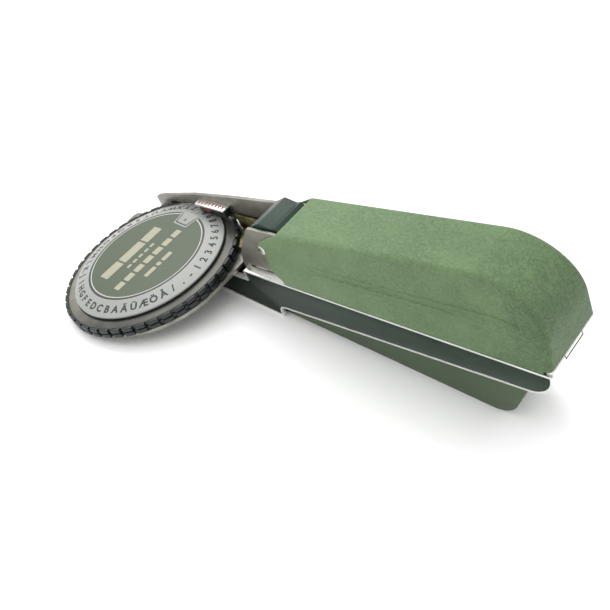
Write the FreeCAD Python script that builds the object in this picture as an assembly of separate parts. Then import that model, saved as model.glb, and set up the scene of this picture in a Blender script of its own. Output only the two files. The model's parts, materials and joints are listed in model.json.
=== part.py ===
"""Hand-held embossing label maker: sheet-metal frame, lettered dial, squeeze lever and hinged cover.

The tool is modelled square to its dial: the dial turns about Z, the handle runs back along +X, and
the dial's lobe overhangs the handle on the -Y side. The last step stands the finished tool on the
three points it rests on, with the origin under the middle of the whole.
"""
import FreeCAD, Part
import math
import os

Vector = FreeCAD.Vector

# Dial
RIM_R = 39.5             # knurled edge of both wheels
RIM_LEDGE = 1.5          # from the knurl in to the grey ring
BEVEL_WIDTH = 4.0        # grey ring round the letters
LETTER_BAND = 7.8        # lettered cone, outside the flat printed disc
CONE_DROP = 2.2          # fall of the cone from the disc to its edge
FACE_T = 1.0
FACE_EDGE = 1.4          # width of the face's thick outer edge
BEVEL_DROP = 2.9
BEVEL_FALL = 1.0         # fall of the grey ring towards the knurl
RING_T = 1.5
RIM_DROP = 3.7
RIM_SPLIT = 5.4          # underside of the upper wheel
RIM_CHAMFER = 0.4
TAPE_GAP = 0.5           # between the two wheels
WHEEL_T = 1.8            # lower wheel
HUB_R = 8.0
HUB_LIFT = 0.6           # recess of the upper wheel's hub under the face
POSITIONS = 45           # characters round the dial
SCALLOP_R = 0.8          # slot between two teeth of the knurl
SCALLOP_DEPTH = 1.0
INDEX_ANGLE = 74.0       # where the character in use stands, from +X
AXLE_R = 3.0
AXLE_HEAD = 2.0          # how far the axle's head and foot stand out
AXLE_HEAD_T = 1.0

# Frame plate
PLATE_T = 1.5
PLATE_CLEAR = 0.3        # under the lower wheel
LOBE_INSET = 2.0         # of the lobe's radius from the knurl's
LOBE_X, LOBE_Y = 2.4, 0.6   # centre of the lobe, from the dial's axis
LIP_REACH = 5.0          # of the tape's exit lip past the knurl
LIP_NEAR, LIP_FAR = 16.0, 24.5
FRONT_INSET = 4.8        # of the far wall's front end inside the knurl
FLOOR_REACH = 12.5       # of the full-width floor behind the knurl
TAIL_REACH = 4.6         # of the tail behind the release bar
TAIL_INSET = 3.2         # of the tail's edges from the chassis walls
FLOOR_CUT_DEPTH = 6.6    # of the cut in the plate between the dial and the near ear
WINDOW_GAP = 1.0         # round the rim where it turns through the far wall
WINDOW_HEADROOM = 0.4    # over the dial's face in that window
WALL_NOSE_Z = -2.7
WALL_CREST = [(-27.0, -0.5, 12.0), (-1.0, 4.9, 30.0), (27.0, 8.9, 60.0)]  # x, z, corner radius
WALL_END_Z = 12.9
EAR_T = 1.2
EAR_SETBACK = 8.0        # front edge of the ears at their foot, behind the knurl
EAR_TOP = 16.9
FAR_EAR_DROP = 1.6       # of the far ear's top below the near one's
RIVET_SETBACK = 2.5      # behind the front of the ears
EAR_FOOT = -1.5          # lower edge of the ears behind the floor
EAR_LEAN = 4.1           # degrees, so the ears follow the cover's sides
RIVET_R = 1.0
RIVET_HEAD = 0.5         # how far a rivet's head stands out round its shank
RIVET_HEAD_T = 0.6

# Handle chassis
NEAR_Y = 10.8            # outer face of the handle's near side
HANDLE_WIDTH = 25.4
HANDLE_REAR = 174.5
CHASSIS_T = 2.0
LEDGE_Z = -4.7           # the cover's skirt stands over this ledge
LIP_TOP = -2.2
LIP_T = 0.7
LIP_SETBACK = 4.7        # front of the lips, behind the step
CHASSIS_FRONT = -31.0
CHASSIS_TOE = 0.115      # rise of the deep front part's lower edge towards the front
GUIDE_CLEAR = 0.7        # between the knurl and the tape guide
STEP_SETBACK = 7.5       # step where the chassis side rises, behind the knurl
NOTCH_SETBACK = 20.2     # end of the deep front part, behind the knurl
NOTCH_BOTTOM = -25.5
NOTCH_TOP = -20.0
STRIP_REAR_BOTTOM = -14.6
REAR_ROUND = 9.0
REAR_LIP = 7.0           # how far the rear wall wraps under
PANEL_BORDER = 0.8       # bright edge left round each side panel
PANEL_POCKET = 0.6
PANEL_T = 0.4

# Lever
LEVER_CLEAR = 0.7        # between the lever and the inside of the chassis
LEVER_T = 1.0
LEVER_SLOPE = 0.1126     # fall of the lever's underside towards the rear
LEVER_BOTTOM = -25.67    # underside of the lever at the notch
LEVER_REAR_R = 10.0
LEVER_TAIL = 3.0         # ahead of the pivot
LEVER_FOOT_INSET = 19.7  # of the lever's rear foot from the handle's rear
LEVER_TOP_INSET = 8.2    # of its rear top
LEVER_UNDERLAP = 2.0     # how far the lever's sides reach up behind the strip
LEVER_HEADROOM = 0.4     # under the frame plate with the lever squeezed
PIVOT_X = -25.0
PIVOT_Z = -12.9
PIVOT_R = 1.5
WASHER_RIM = 1.2
WASHER_PLAY = 0.3        # side play left beside each pivot washer
RUNNING = 0.05           # radial clearance of a turning fit
SQUEEZE = 6.4            # degrees

# Release bar between the ears
BAR_SETBACK = 11.0       # behind the front edge of the ears
BAR_LENGTH = 16.9
BAR_TOP = 18.6
BAR_BOTTOM = 12.0
BAR_CLEAR = 0.5
BRIDGE_Z = 6.0
BRIDGE_T = 1.2
BRIDGE_INSET = 1.0       # of the bridge from the bar's ends
SMALL_SPRING_R = 2.2
SMALL_SPRING_WIRE = 0.5
SMALL_SPRING_TURNS = 5

# Cover
COVER_T = 0.8
COVER_GAP = 0.9          # between the release bar and the cover's top edge
NOSE_SETBACK = 5.0       # tip of the cover's sides, behind the bar's front
NOSE_Z = 12.3
NOSE_TUCK = 2.7          # front edge of the sides below the notch, behind the tip
COVER_BOTTOM = -4.4
TOP_FRONT = 18.9
TOP_REAR = 25.8
REAR_ARC_R = 19.2
SIDE_TAPER = 2.8         # lean of each side from the skirt to the top
EDGE_ROUND = 1.8
STUD_BACK = 0.9          # behind the tip of the cover's sides
STUD_Z = 8.9
STUD_NOTCH_R = 2.4
STUD_R = 1.8
STUD_HEAD = 1.3          # stands out from the ear into the cover's notch
STUD_ROOT = 0.35
HINGE_R = 1.1
HINGE_PIN_R = 0.5
HINGE_INSET = 0.8        # of the barrel's ends from the handle's sides, clear of the side panels
HINGE_CLEAR = 0.25       # round the barrel
KNUCKLE_HALF = 5.0       # half the middle knuckle's space
KNUCKLE_GAP = 0.3
LEAF_T = 0.5             # hinge leaf inside the cover
COVER_LEAF = 6.0
SIDE_LIP_GAP = 0.4       # between the barrel and the lips under the cover

# Index
BRACKET_FRONT, BRACKET_REAR = 4.5, 21.5
BRACKET_DEPTH = 3.2
BRACKET_TOP = 3.2
BRACKET_CLEAR = 0.4      # over the lettered cone
TAG_FRONT, TAG_REAR = 3.0, 22.5
TAG_DEPTH = 4.0
TAG_T = 0.8

# Tape path and works
TAPE_WIDTH = 9.5
TAPE_HEIGHT = 2.4        # of the tape's guide over the plate
GUIDE_T = 0.5
GUIDE_FRONT = 30.0
GUIDE_REACH = 18.5       # behind the knurl
FLANGE_FRONT = 25.0      # upturned far edge of the guide
FLANGE_TOP = 0.9
GUIDE_SIDE = 1.5         # start of the guide's near side, behind the knurl
LEAF_SPRING_T = 0.3
ROLL_X, ROLL_Z = 118.0, 3.5
ROLL_R = 15.5
CORE_R = 8.0
POST_R = 3.0
TRAY_T = 1.2
TRAY_SIDE_T = 0.6
TRAY_CLEAR = 0.4         # beside the tray, inside the squeezed lever
TRAY_START = 3.0         # behind the full-width floor
TRAY_REACH = 28.0        # behind the roll's axis
TRAY_SIDE_RISE = 6.0     # of the side plates over the roll's axis
TRAY_SIDE_INSET = 2.0    # of the side plates from the roll's edge
ROLL_SIDE_GAP = 0.35
FEED_SETBACK = 7.5       # feed roller's axis behind the knurl
FEED_R = 4.0
FEED_WIDTH = 6.4
FEED_GAP = 0.3           # for the tape over the roller
FEED_GROOVE = 0.8        # half the groove's width
FEED_GROOVE_DEPTH = 0.6
FEED_AXLE_R = 0.6
RATCHET_T = 1.1
RATCHET_TEETH = 12
LUG_T = 1.0
LUG_HALF = 3.0
LUG_DROP = 2.2
PLUNGER_R = 2.4
FOOT_R = 1.2
FOOT_H = 1.0
PLUNGER_TRAVEL = 3.63
PRESS_GAP = 0.35         # left under the lower wheel at full lift
PLUNGER_CLEAR = 0.5      # round the plunger in the plate
GUIDE_WALL = 1.2
GUIDE_DEPTH = 2.7
BLADE_GAP = 1.7          # between the plunger and the blade
BLADE_T = 0.5
BLADE_HALF = 2.8
BLADE_CLEAR = 0.3
BLADE_BEVEL = 0.6
STRIKER_GAP = 0.3
STRIKER_H = 1.0
STRIKER_HALF = 3.0
SPRING_SETBACK = 12.0    # return spring's axis ahead of the tail's end
SPRING_R = 4.0
SPRING_WIRE = 1.0
SPRING_TURNS = 6

# Heights and places that follow from the sizes above
BEVEL_R = RIM_R - RIM_LEDGE
LETTER_R = BEVEL_R - BEVEL_WIDTH
DISC_R = LETTER_R - LETTER_BAND
DIAL_BOTTOM = -(RIM_SPLIT + TAPE_GAP + WHEEL_T)
PLATE_TOP = DIAL_BOTTOM - PLATE_CLEAR
PLATE_BOTTOM = PLATE_TOP - PLATE_T
LOBE_R = RIM_R - LOBE_INSET
STEP_X = RIM_R + STEP_SETBACK
NOTCH_X = RIM_R + NOTCH_SETBACK
FLOOR_REAR = RIM_R + FLOOR_REACH
FLOOR_CUT = NEAR_Y + FLOOR_CUT_DEPTH
EAR_FRONT = RIM_R + EAR_SETBACK
BAR_FRONT = EAR_FRONT + BAR_SETBACK
BAR_REAR = BAR_FRONT + BAR_LENGTH
TAIL_REAR = BAR_REAR + TAIL_REACH
COVER_FRONT = BAR_REAR + COVER_GAP
COVER_NOSE = BAR_FRONT + NOSE_SETBACK
COVER_EDGE = COVER_NOSE + NOSE_TUCK
STUD_X = COVER_NOSE + STUD_BACK
FAR_Y = NEAR_Y + HANDLE_WIDTH
MID_Y = NEAR_Y + HANDLE_WIDTH / 2
NEAR_IN = NEAR_Y + CHASSIS_T
FAR_IN = FAR_Y - CHASSIS_T
WALL_IN = FAR_IN - PLATE_T
LEVER_NEAR = NEAR_IN + LEVER_CLEAR
LEVER_FAR = FAR_IN - LEVER_CLEAR
LEVER_REAR_FOOT = HANDLE_REAR - LEVER_FOOT_INSET
LEVER_REAR_TOP = HANDLE_REAR - LEVER_TOP_INSET
REAR_LIP_X = HANDLE_REAR - REAR_LIP
TRAY_FAR = LEVER_FAR - LEVER_T - TRAY_CLEAR
TAPE_FAR = TRAY_FAR - TRAY_SIDE_T - ROLL_SIDE_GAP
TAPE_NEAR = TAPE_FAR - TAPE_WIDTH
TAPE_Y = TAPE_FAR - TAPE_WIDTH / 2
PRESS_X = TAPE_Y / math.tan(math.radians(INDEX_ANGLE))
BLADE_X = PRESS_X + PLUNGER_R + BLADE_GAP
GUIDE_UNDER = PLATE_TOP + TAPE_HEIGHT
FEED_X = RIM_R + FEED_SETBACK
FEED_Z = GUIDE_UNDER - LEAF_SPRING_T - FEED_GAP - FEED_R
SPRING_X = TAIL_REAR - SPRING_SETBACK
HINGE_X = HANDLE_REAR - HINGE_R
HINGE_Z = (COVER_BOTTOM + LEDGE_Z) / 2
CHASSIS_KNUCKLES = [(NEAR_Y + HINGE_INSET, MID_Y - KNUCKLE_HALF),
                    (MID_Y + KNUCKLE_HALF, FAR_Y - HINGE_INSET)]
COVER_SLOPE = (TOP_REAR - TOP_FRONT) / (HANDLE_REAR - REAR_ARC_R - COVER_FRONT)
FRAME_RIVETS = [(EAR_FRONT + RIVET_SETBACK, PLATE_TOP + RIVET_R + RIVET_HEAD + 0.1)]
TRAY_RIVETS = [(x, MID_Y + side * 5.0) for x in (FLOOR_REAR + 6.0, TAIL_REAR - 4.0) for side in (-1, 1)]
FAR_OUT = 60.0           # past the far side of everything, for holes right through


def face_height(r):
    """Height of the dial's printed face at radius r."""
    return -CONE_DROP * max(0.0, r - DISC_R) / LETTER_BAND


def lever_under(x):
    """Height of the lever's underside at x, with the lever open."""
    return LEVER_BOTTOM - LEVER_SLOPE * (x - NOTCH_X)


def strip_bottom(x):
    """Height of the lower edge of the chassis strip behind the notch."""
    rise = (STRIP_REAR_BOTTOM - NOTCH_TOP) / (HANDLE_REAR - NOTCH_X)
    return NOTCH_TOP + rise * (x - NOTCH_X)


def rounded_face(corners, place):
    """Flat face through corners (u, v) or (u, v, radius); place turns (u, v) into a point."""
    edges, ends = [], []
    count = len(corners)
    for i, corner in enumerate(corners):
        here = Vector(corner[0], corner[1], 0)
        radius = corner[2] if len(corner) > 2 else 0
        before = Vector(corners[i - 1][0], corners[i - 1][1], 0)
        after = Vector(corners[(i + 1) % count][0], corners[(i + 1) % count][1], 0)
        into = (here - before).normalize()
        out = (after - here).normalize()
        if not radius:
            ends.append((here, here))
            continue
        turn = into.getAngle(out)
        reach = radius * math.tan(turn / 2)
        bisector = (out - into).normalize()
        centre = here + bisector * (radius / math.cos(turn / 2))
        first, last = here - into * reach, here + out * reach
        middle = centre - bisector * radius
        edges.append((i, Part.Arc(place(first), place(middle), place(last)).toShape()))
        ends.append((first, last))
    arcs = dict(edges)
    ring = []
    for i in range(count):
        start, end = ends[i - 1][1], ends[i][0]
        if start.distanceToPoint(end) > 1e-6:
            ring.append(Part.LineSegment(place(start), place(end)).toShape())
        if i in arcs:
            ring.append(arcs[i])
    return Part.Face(Part.Wire(ring))


def side_face(corners, y):
    """Face in the plane of the handle's side, from corners (x, z) or (x, z, radius)."""
    return rounded_face(corners, lambda p: Vector(p.x, y, p.y))


def side_solid(corners, y_low, y_high):
    """Solid with a side outline, from y_low to y_high."""
    return side_face(corners, y_low).extrude(Vector(0, y_high - y_low, 0))


def plan_solid(corners, z_low, z_high):
    """Solid with a plan outline, from z_low to z_high."""
    face = rounded_face(corners, lambda p: Vector(p.x, p.y, z_low))
    return face.extrude(Vector(0, 0, z_high - z_low))


def block(x_low, x_high, y_low, y_high, z_low, z_high):
    """Square block between two corners."""
    size = (x_high - x_low, y_high - y_low, z_high - z_low)
    return Part.makeBox(*size, Vector(x_low, y_low, z_low))


def upright(x, y, radius, z_low, z_high):
    """Round bar along Z."""
    return Part.makeCylinder(radius, z_high - z_low, Vector(x, y, z_low))


def crossbar(x, z, radius, y_low, y_high):
    """Round bar along Y."""
    return Part.makeCylinder(radius, y_high - y_low, Vector(x, y_low, z), Vector(0, 1, 0))


def turned(profile):
    """Solid turned about the dial's axis from (radius, z) points."""
    points = [Vector(r, 0, z) for r, z in profile]
    face = Part.Face(Part.makePolygon(points + points[:1]))
    return face.revolve(Vector(0, 0, 0), Vector(0, 0, 1), 360)


def coil(x, y, z_low, z_high, radius, wire, turns):
    """Compression spring that fills the height from z_low to z_high."""
    height = z_high - z_low - wire
    helix = Part.makeHelix(height / turns, height, radius - wire / 2)
    start = Vector(radius - wire / 2, 0, 0)
    ring = Part.Wire(Part.makeCircle(wire / 2, start, Vector(0, 1, 0)))
    sweep = Part.Wire(helix).makePipeShell([ring], True, True)
    sweep.translate(Vector(x, y, z_low + wire / 2))
    return sweep


# ---------------------------------------------------------------- dial

def knurled(solid, z_low, z_high):
    """Cuts one valley between each two characters in the solid's edge."""
    valleys = []
    for i in range(POSITIONS):
        angle = math.radians(INDEX_ANGLE + (i + 0.5) * 360 / POSITIONS)
        reach = RIM_R + SCALLOP_R - SCALLOP_DEPTH
        valleys.append(upright(reach * math.cos(angle), reach * math.sin(angle), SCALLOP_R,
                               z_low - 1, z_high + 1))
    return solid.cut(Part.makeCompound(valleys))


def make_dial_face():
    """Flat printed disc with a lettered cone round it."""
    seat = CONE_DROP + FACE_T
    return turned([(0, 0), (DISC_R, 0), (LETTER_R, -CONE_DROP), (LETTER_R, -seat),
                   (LETTER_R - FACE_EDGE, -seat), (DISC_R, -FACE_T), (0, -FACE_T)])


def make_bevel_ring():
    """Grey ring that slopes from the letters to the knurl."""
    foot = BEVEL_DROP + RING_T
    return turned([(LETTER_R, -BEVEL_DROP), (LETTER_R + 1, -BEVEL_DROP),
                   (BEVEL_R, -BEVEL_DROP - BEVEL_FALL), (BEVEL_R, -foot), (LETTER_R, -foot)])


def make_upper_wheel():
    """Moulded die wheel that carries the dial face."""
    bore = AXLE_R + RUNNING
    seat, foot = CONE_DROP + FACE_T, BEVEL_DROP + RING_T
    wheel = turned([(bore, -seat + HUB_LIFT), (HUB_R, -seat + HUB_LIFT), (HUB_R, -seat),
                    (LETTER_R, -seat), (LETTER_R, -foot), (BEVEL_R, -foot),
                    (BEVEL_R, -RIM_DROP), (RIM_R - RIM_CHAMFER, -RIM_DROP),
                    (RIM_R, -RIM_DROP - RIM_CHAMFER), (RIM_R, -RIM_SPLIT), (bore, -RIM_SPLIT)])
    return knurled(wheel, -RIM_SPLIT, -RIM_DROP)


def make_wheel_spacer():
    """Washer that keeps the two wheels a tape's thickness apart."""
    top = -RIM_SPLIT
    ring = upright(0, 0, HUB_R, top - TAPE_GAP, top)
    return ring.cut(upright(0, 0, AXLE_R + RUNNING, top - TAPE_GAP, top))


def make_punch_wheel():
    """Lower wheel, with the punches under the dies."""
    top = -RIM_SPLIT - TAPE_GAP
    bore = AXLE_R + RUNNING
    wheel = turned([(bore, top), (RIM_R, top), (RIM_R, DIAL_BOTTOM + RIM_CHAMFER),
                    (RIM_R - RIM_CHAMFER, DIAL_BOTTOM), (bore, DIAL_BOTTOM)])
    return knurled(wheel, DIAL_BOTTOM, top)


def make_dial_axle():
    """Headed post that both wheels turn on, riveted under the plate."""
    head_low = -CONE_DROP - FACE_T + HUB_LIFT + 2 * RUNNING
    post = upright(0, 0, AXLE_R, PLATE_BOTTOM, head_low)
    head = upright(0, 0, AXLE_R + AXLE_HEAD, head_low, head_low + AXLE_HEAD_T)
    foot = upright(0, 0, AXLE_R + AXLE_HEAD, PLATE_BOTTOM - AXLE_HEAD_T, PLATE_BOTTOM)
    return post.fuse([head, foot])


# ---------------------------------------------------------------- frame

def lean(solid, y, z, degrees):
    """Tips a plate about the line (y, z) along X."""
    tipped = solid.copy()
    tipped.rotate(Vector(0, y, z), Vector(1, 0, 0), degrees)
    return tipped


def upper_ear(y_low, hinge_y, degrees, top):
    """Leaning part of an ear, from just below its foot to its top."""
    foot = EAR_FOOT - 0.2
    plate = side_solid([(EAR_FRONT, foot), (EAR_FRONT + 3, 6.0, 20.0),
                        (BAR_FRONT + 0.1, top - 0.5, 0.8), (COVER_FRONT - 1, top + 0.3, 2.0),
                        (TAIL_REAR, top - 4),
                        (TAIL_REAR, foot)], y_low, y_low + EAR_T)
    return lean(plate, hinge_y, EAR_FOOT, degrees)


def make_frame_plate():
    """Base plate under the dial, bent up into the far wall and the two ears."""
    lobe = upright(LOBE_X, LOBE_Y, LOBE_R, PLATE_BOTTOM, PLATE_TOP)
    lobe = lobe.common(block(-LOBE_R - 1, RIM_R, -LOBE_R - 1, FAR_IN, PLATE_BOTTOM, PLATE_TOP))
    front = FRONT_INSET - RIM_R
    shelf = plan_solid([(front, FAR_IN), (front, 12, 6), (0, 0), (RIM_R, 0), (RIM_R, FLOOR_CUT),
                        (EAR_FRONT, FLOOR_CUT), (EAR_FRONT, NEAR_IN), (FLOOR_REAR, NEAR_IN),
                        (FLOOR_REAR, FAR_IN)], PLATE_BOTTOM, PLATE_TOP)
    tip, root = -RIM_R - LIP_REACH, 6.7 - RIM_R + FRONT_INSET
    lip = plan_solid([(tip, LIP_NEAR, 2.5), (root, LIP_NEAR), (root, LIP_FAR), (tip, LIP_FAR, 2.5)],
                     PLATE_BOTTOM, PLATE_TOP)
    tail = block(FLOOR_REAR - 1, TAIL_REAR, NEAR_IN + TAIL_INSET, FAR_IN - TAIL_INSET,
                 PLATE_BOTTOM, PLATE_TOP)
    wall_end = BAR_FRONT + 3.5
    wall = side_solid([(front, PLATE_BOTTOM), (front, WALL_NOSE_Z, 2.0), *WALL_CREST,
                       (wall_end, WALL_END_Z), (wall_end, EAR_FOOT), (FLOOR_REAR, EAR_FOOT),
                       (FLOOR_REAR, PLATE_BOTTOM)], WALL_IN, FAR_IN)
    for radius, height in ((RIM_R, -RIM_DROP), (BEVEL_R, -BEVEL_DROP), (LETTER_R, face_height(WALL_IN))):
        wall = wall.cut(upright(0, 0, radius + WINDOW_GAP, PLATE_TOP, height + WINDOW_HEADROOM))
    near_foot = block(EAR_FRONT, FLOOR_REAR, NEAR_IN, NEAR_IN + EAR_T, PLATE_BOTTOM, EAR_FOOT)
    near_ear = upper_ear(NEAR_IN, NEAR_IN, -EAR_LEAN, EAR_TOP)
    far_ear = upper_ear(FAR_IN - EAR_T, FAR_IN, EAR_LEAN, EAR_TOP - FAR_EAR_DROP)
    plate = lobe.fuse([shelf, lip, tail, wall, near_foot, near_ear, far_ear])
    low, high = PLATE_BOTTOM - 1, PLATE_TOP + 1
    gap = 0.4
    roller_slot = block(FEED_X - FEED_R - gap, FEED_X + FEED_R + gap,
                        TAPE_Y - FEED_WIDTH / 2 - RATCHET_T - gap - 0.1,
                        TAPE_Y + FEED_WIDTH / 2 + gap, low, high)
    blade_slot = block(BLADE_X - BLADE_CLEAR, BLADE_X + BLADE_T + BLADE_CLEAR,
                       TAPE_Y - BLADE_HALF - BLADE_CLEAR, TAPE_Y + BLADE_HALF + BLADE_CLEAR,
                       low, high)
    holes = [upright(0, 0, AXLE_R, low, high),
             upright(PRESS_X, TAPE_Y, PLUNGER_R + PLUNGER_CLEAR, low, high),
             roller_slot, blade_slot]
    holes += [crossbar(x, z, RIVET_R, 0, FAR_OUT) for x, z in FRAME_RIVETS]
    holes += [upright(x, y, RIVET_R, low, high) for x, y in TRAY_RIVETS]
    return plate.cut(Part.makeCompound(holes)).removeSplitter()


def chassis_outline():
    """Corners of the chassis side, without the lip under the cover."""
    return [(CHASSIS_FRONT, PLATE_BOTTOM), (STEP_X, PLATE_BOTTOM), (STEP_X, LEDGE_Z, 1.0),
            (HANDLE_REAR, LEDGE_Z), (HANDLE_REAR, STRIP_REAR_BOTTOM, REAR_ROUND),
            (NOTCH_X, strip_bottom(NOTCH_X), 3.5), (NOTCH_X, NOTCH_BOTTOM, 0.6),
            (CHASSIS_FRONT, NOTCH_BOTTOM + CHASSIS_TOE * (NOTCH_X - CHASSIS_FRONT), 4.0)]


def panel_face(y, border):
    """Face of a side panel, set in by the border from the chassis outline."""
    return side_face(chassis_outline(), y).makeOffset2D(-border)


def make_chassis():
    """Bright channel: two sides, and a rear wall that wraps round and under."""
    outline = chassis_outline()
    body = side_solid(outline, NEAR_Y, FAR_Y)
    inside = side_solid([(CHASSIS_FRONT - 5, 5), (HANDLE_REAR - CHASSIS_T, 5),
                         (HANDLE_REAR - CHASSIS_T, STRIP_REAR_BOTTOM + CHASSIS_T,
                          REAR_ROUND - CHASSIS_T),
                         (REAR_LIP_X, strip_bottom(REAR_LIP_X) + CHASSIS_T),
                         (REAR_LIP_X, NOTCH_BOTTOM - 10), (CHASSIS_FRONT - 5, NOTCH_BOTTOM - 10)],
                        NEAR_IN, FAR_IN)
    lip = block(STEP_X + LIP_SETBACK, HINGE_X - HINGE_R - SIDE_LIP_GAP, NEAR_IN - LIP_T,
                FAR_IN + LIP_T, LEDGE_Z - 0.5, LIP_TOP)
    lip = lip.cut(block(STEP_X, HANDLE_REAR, NEAR_IN, FAR_IN, -30, 5))
    chassis = body.cut(inside).fuse(lip)
    near_pocket = panel_face(NEAR_Y, PANEL_BORDER).extrude(Vector(0, PANEL_POCKET, 0))
    far_pocket = panel_face(FAR_Y, PANEL_BORDER).extrude(Vector(0, -PANEL_POCKET, 0))
    holes = [near_pocket, far_pocket, crossbar(PIVOT_X, PIVOT_Z, PIVOT_R, 0, FAR_OUT)]
    holes += [crossbar(HINGE_X, HINGE_Z, HINGE_R, low, high) for low, high in CHASSIS_KNUCKLES]
    (_, low), (high, _) = CHASSIS_KNUCKLES
    holes.append(crossbar(HINGE_X, HINGE_Z, HINGE_R + HINGE_CLEAR, low, high))
    holes += [crossbar(x, z, RIVET_R, 0, FAR_OUT) for x, z in FRAME_RIVETS]
    return chassis.cut(Part.makeCompound(holes)).removeSplitter()


def make_side_panel(near):
    """Dark painted panel let into one side of the chassis."""
    y = NEAR_Y + PANEL_POCKET if near else FAR_Y - PANEL_POCKET
    way = -PANEL_T if near else PANEL_T
    return panel_face(y, PANEL_BORDER).extrude(Vector(0, way, 0))


def make_frame_rivets():
    """Rivets that join the frame plate to the chassis on both sides."""
    solids = []
    for x, z in FRAME_RIVETS:
        near = crossbar(x, z, RIVET_R, NEAR_Y + PANEL_POCKET, NEAR_IN + EAR_T)
        near_head = crossbar(x, z, RIVET_R + RIVET_HEAD, NEAR_IN + EAR_T,
                             NEAR_IN + EAR_T + RIVET_HEAD_T)
        far = crossbar(x, z, RIVET_R, WALL_IN, FAR_Y - PANEL_POCKET)
        far_head = crossbar(x, z, RIVET_R + RIVET_HEAD, WALL_IN - RIVET_HEAD_T, WALL_IN)
        solids += [near.fuse(near_head), far.fuse(far_head)]
    return Part.makeCompound(solids)


def make_index_bracket():
    """Black anvil block on the far wall, just clear of the lettered cone."""
    near = WALL_IN - BRACKET_DEPTH
    low = face_height(math.hypot(BRACKET_FRONT, near)) + BRACKET_CLEAR
    return block(BRACKET_FRONT, BRACKET_REAR, near, WALL_IN, low, BRACKET_TOP)


def make_index_tag():
    """Bright tag over the anvil that marks the character in use."""
    near, flare = WALL_IN - TAG_DEPTH, 0.4
    return plan_solid([(TAG_FRONT + flare, near, 0.5), (TAG_REAR - flare, near, 0.5),
                       (TAG_REAR, WALL_IN), (TAG_FRONT, WALL_IN)], BRACKET_TOP, BRACKET_TOP + TAG_T)


def make_tape_guide():
    """Brass channel that leads the tape from the feed roller to the dial."""
    near, high = TAPE_NEAR - GUIDE_T - 0.1, GUIDE_UNDER + GUIDE_T
    far = WALL_IN - RIVET_HEAD_T - 0.1
    top = block(GUIDE_FRONT, RIM_R + GUIDE_REACH, near, far, GUIDE_UNDER, high)
    flange = block(FLANGE_FRONT, RIM_R, far - GUIDE_T, far, GUIDE_UNDER, FLANGE_TOP)
    side = block(RIM_R + GUIDE_SIDE, FLOOR_REAR + TRAY_START, near, near + GUIDE_T, PLATE_TOP, high)
    return top.fuse([side, flange]).cut(upright(0, 0, RIM_R + GUIDE_CLEAR, PLATE_BOTTOM, high + 10))


def make_pressure_spring():
    """Leaf that presses the tape on the feed roller."""
    return block(FEED_X - 7, FEED_X + 8, TAPE_Y - 2.5, TAPE_Y + 2.5,
                 GUIDE_UNDER - LEAF_SPRING_T, GUIDE_UNDER)


# ---------------------------------------------------------------- lever and plunger

def lever_outline():
    """Corners of the lever's side, with the lever open."""
    front = PIVOT_X - LEVER_TAIL
    clear = PLATE_BOTTOM - LEVER_HEADROOM
    rise = math.tan(math.radians(SQUEEZE))
    return [(front, lever_under(front), 2.0), (LEVER_REAR_FOOT, lever_under(LEVER_REAR_FOOT),
                                               LEVER_REAR_R),
            (LEVER_REAR_TOP, strip_bottom(LEVER_REAR_TOP) + LEVER_UNDERLAP, 1.0),
            (NOTCH_X + 6, strip_bottom(NOTCH_X + 6) + LEVER_UNDERLAP),
            (NOTCH_X - 3, clear - rise * (NOTCH_X - 3 - PIVOT_X)),
            (PIVOT_X + 3, clear - rise * 3), (front, clear + 0.2, 0.8)]


def make_lever():
    """Green U-section lever, closed along its underside and round its rear end."""
    shell = side_solid(lever_outline(), LEVER_NEAR, LEVER_FAR)
    front = PIVOT_X - LEVER_TAIL - 2
    floor = LEVER_T * math.hypot(1, LEVER_SLOPE)
    back = LEVER_REAR_FOOT - LEVER_T
    inside = side_solid([(front, lever_under(front) + floor), (back, lever_under(back) + floor,
                                                              LEVER_REAR_R - LEVER_T),
                         (LEVER_REAR_TOP - LEVER_T + 2, strip_bottom(LEVER_REAR_TOP) + 6),
                         (LEVER_REAR_TOP - LEVER_T + 2, 20), (front, 20)],
                        LEVER_NEAR + LEVER_T, LEVER_FAR - LEVER_T)
    shell = shell.cut(inside)
    return shell.cut(crossbar(PIVOT_X, PIVOT_Z, PIVOT_R + RUNNING, 0, FAR_OUT))


def make_pivot_pin():
    """Pin across the chassis that the lever turns on."""
    return crossbar(PIVOT_X, PIVOT_Z, PIVOT_R, NEAR_Y + PANEL_POCKET, FAR_Y - PANEL_POCKET)


def make_pivot_washers():
    """Thin washers that centre the lever between the chassis sides."""
    solids = []
    thick = LEVER_CLEAR - WASHER_PLAY
    for y in (NEAR_IN, FAR_IN - thick):
        washer = crossbar(PIVOT_X, PIVOT_Z, PIVOT_R + WASHER_RIM, y, y + thick)
        solids.append(washer.cut(crossbar(PIVOT_X, PIVOT_Z, PIVOT_R, 0, FAR_OUT)))
    return Part.makeCompound(solids)


def striker_top():
    """Height of the striker pad under the plunger."""
    return lever_under(PRESS_X) + LEVER_T + STRIKER_H


def make_striker_pad():
    """Hard pad on the lever's floor that lifts the plunger."""
    floor = LEVER_T * math.hypot(1, LEVER_SLOPE)
    low, high = PRESS_X - 3.5, PRESS_X + 2.6
    return side_solid([(low, lever_under(low) + floor), (high, lever_under(high) + floor),
                       (high, striker_top()), (low, striker_top())],
                      TAPE_Y - STRIKER_HALF, TAPE_Y + STRIKER_HALF)


def make_plunger():
    """Round plunger that presses the punch wheel up against the dies."""
    foot = striker_top() + STRIKER_GAP
    top = DIAL_BOTTOM - PRESS_GAP - PLUNGER_TRAVEL
    stem = upright(PRESS_X, TAPE_Y, PLUNGER_R, foot + FOOT_H, top)
    return stem.fuse(upright(PRESS_X, TAPE_Y, FOOT_R, foot, foot + FOOT_H))


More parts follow.
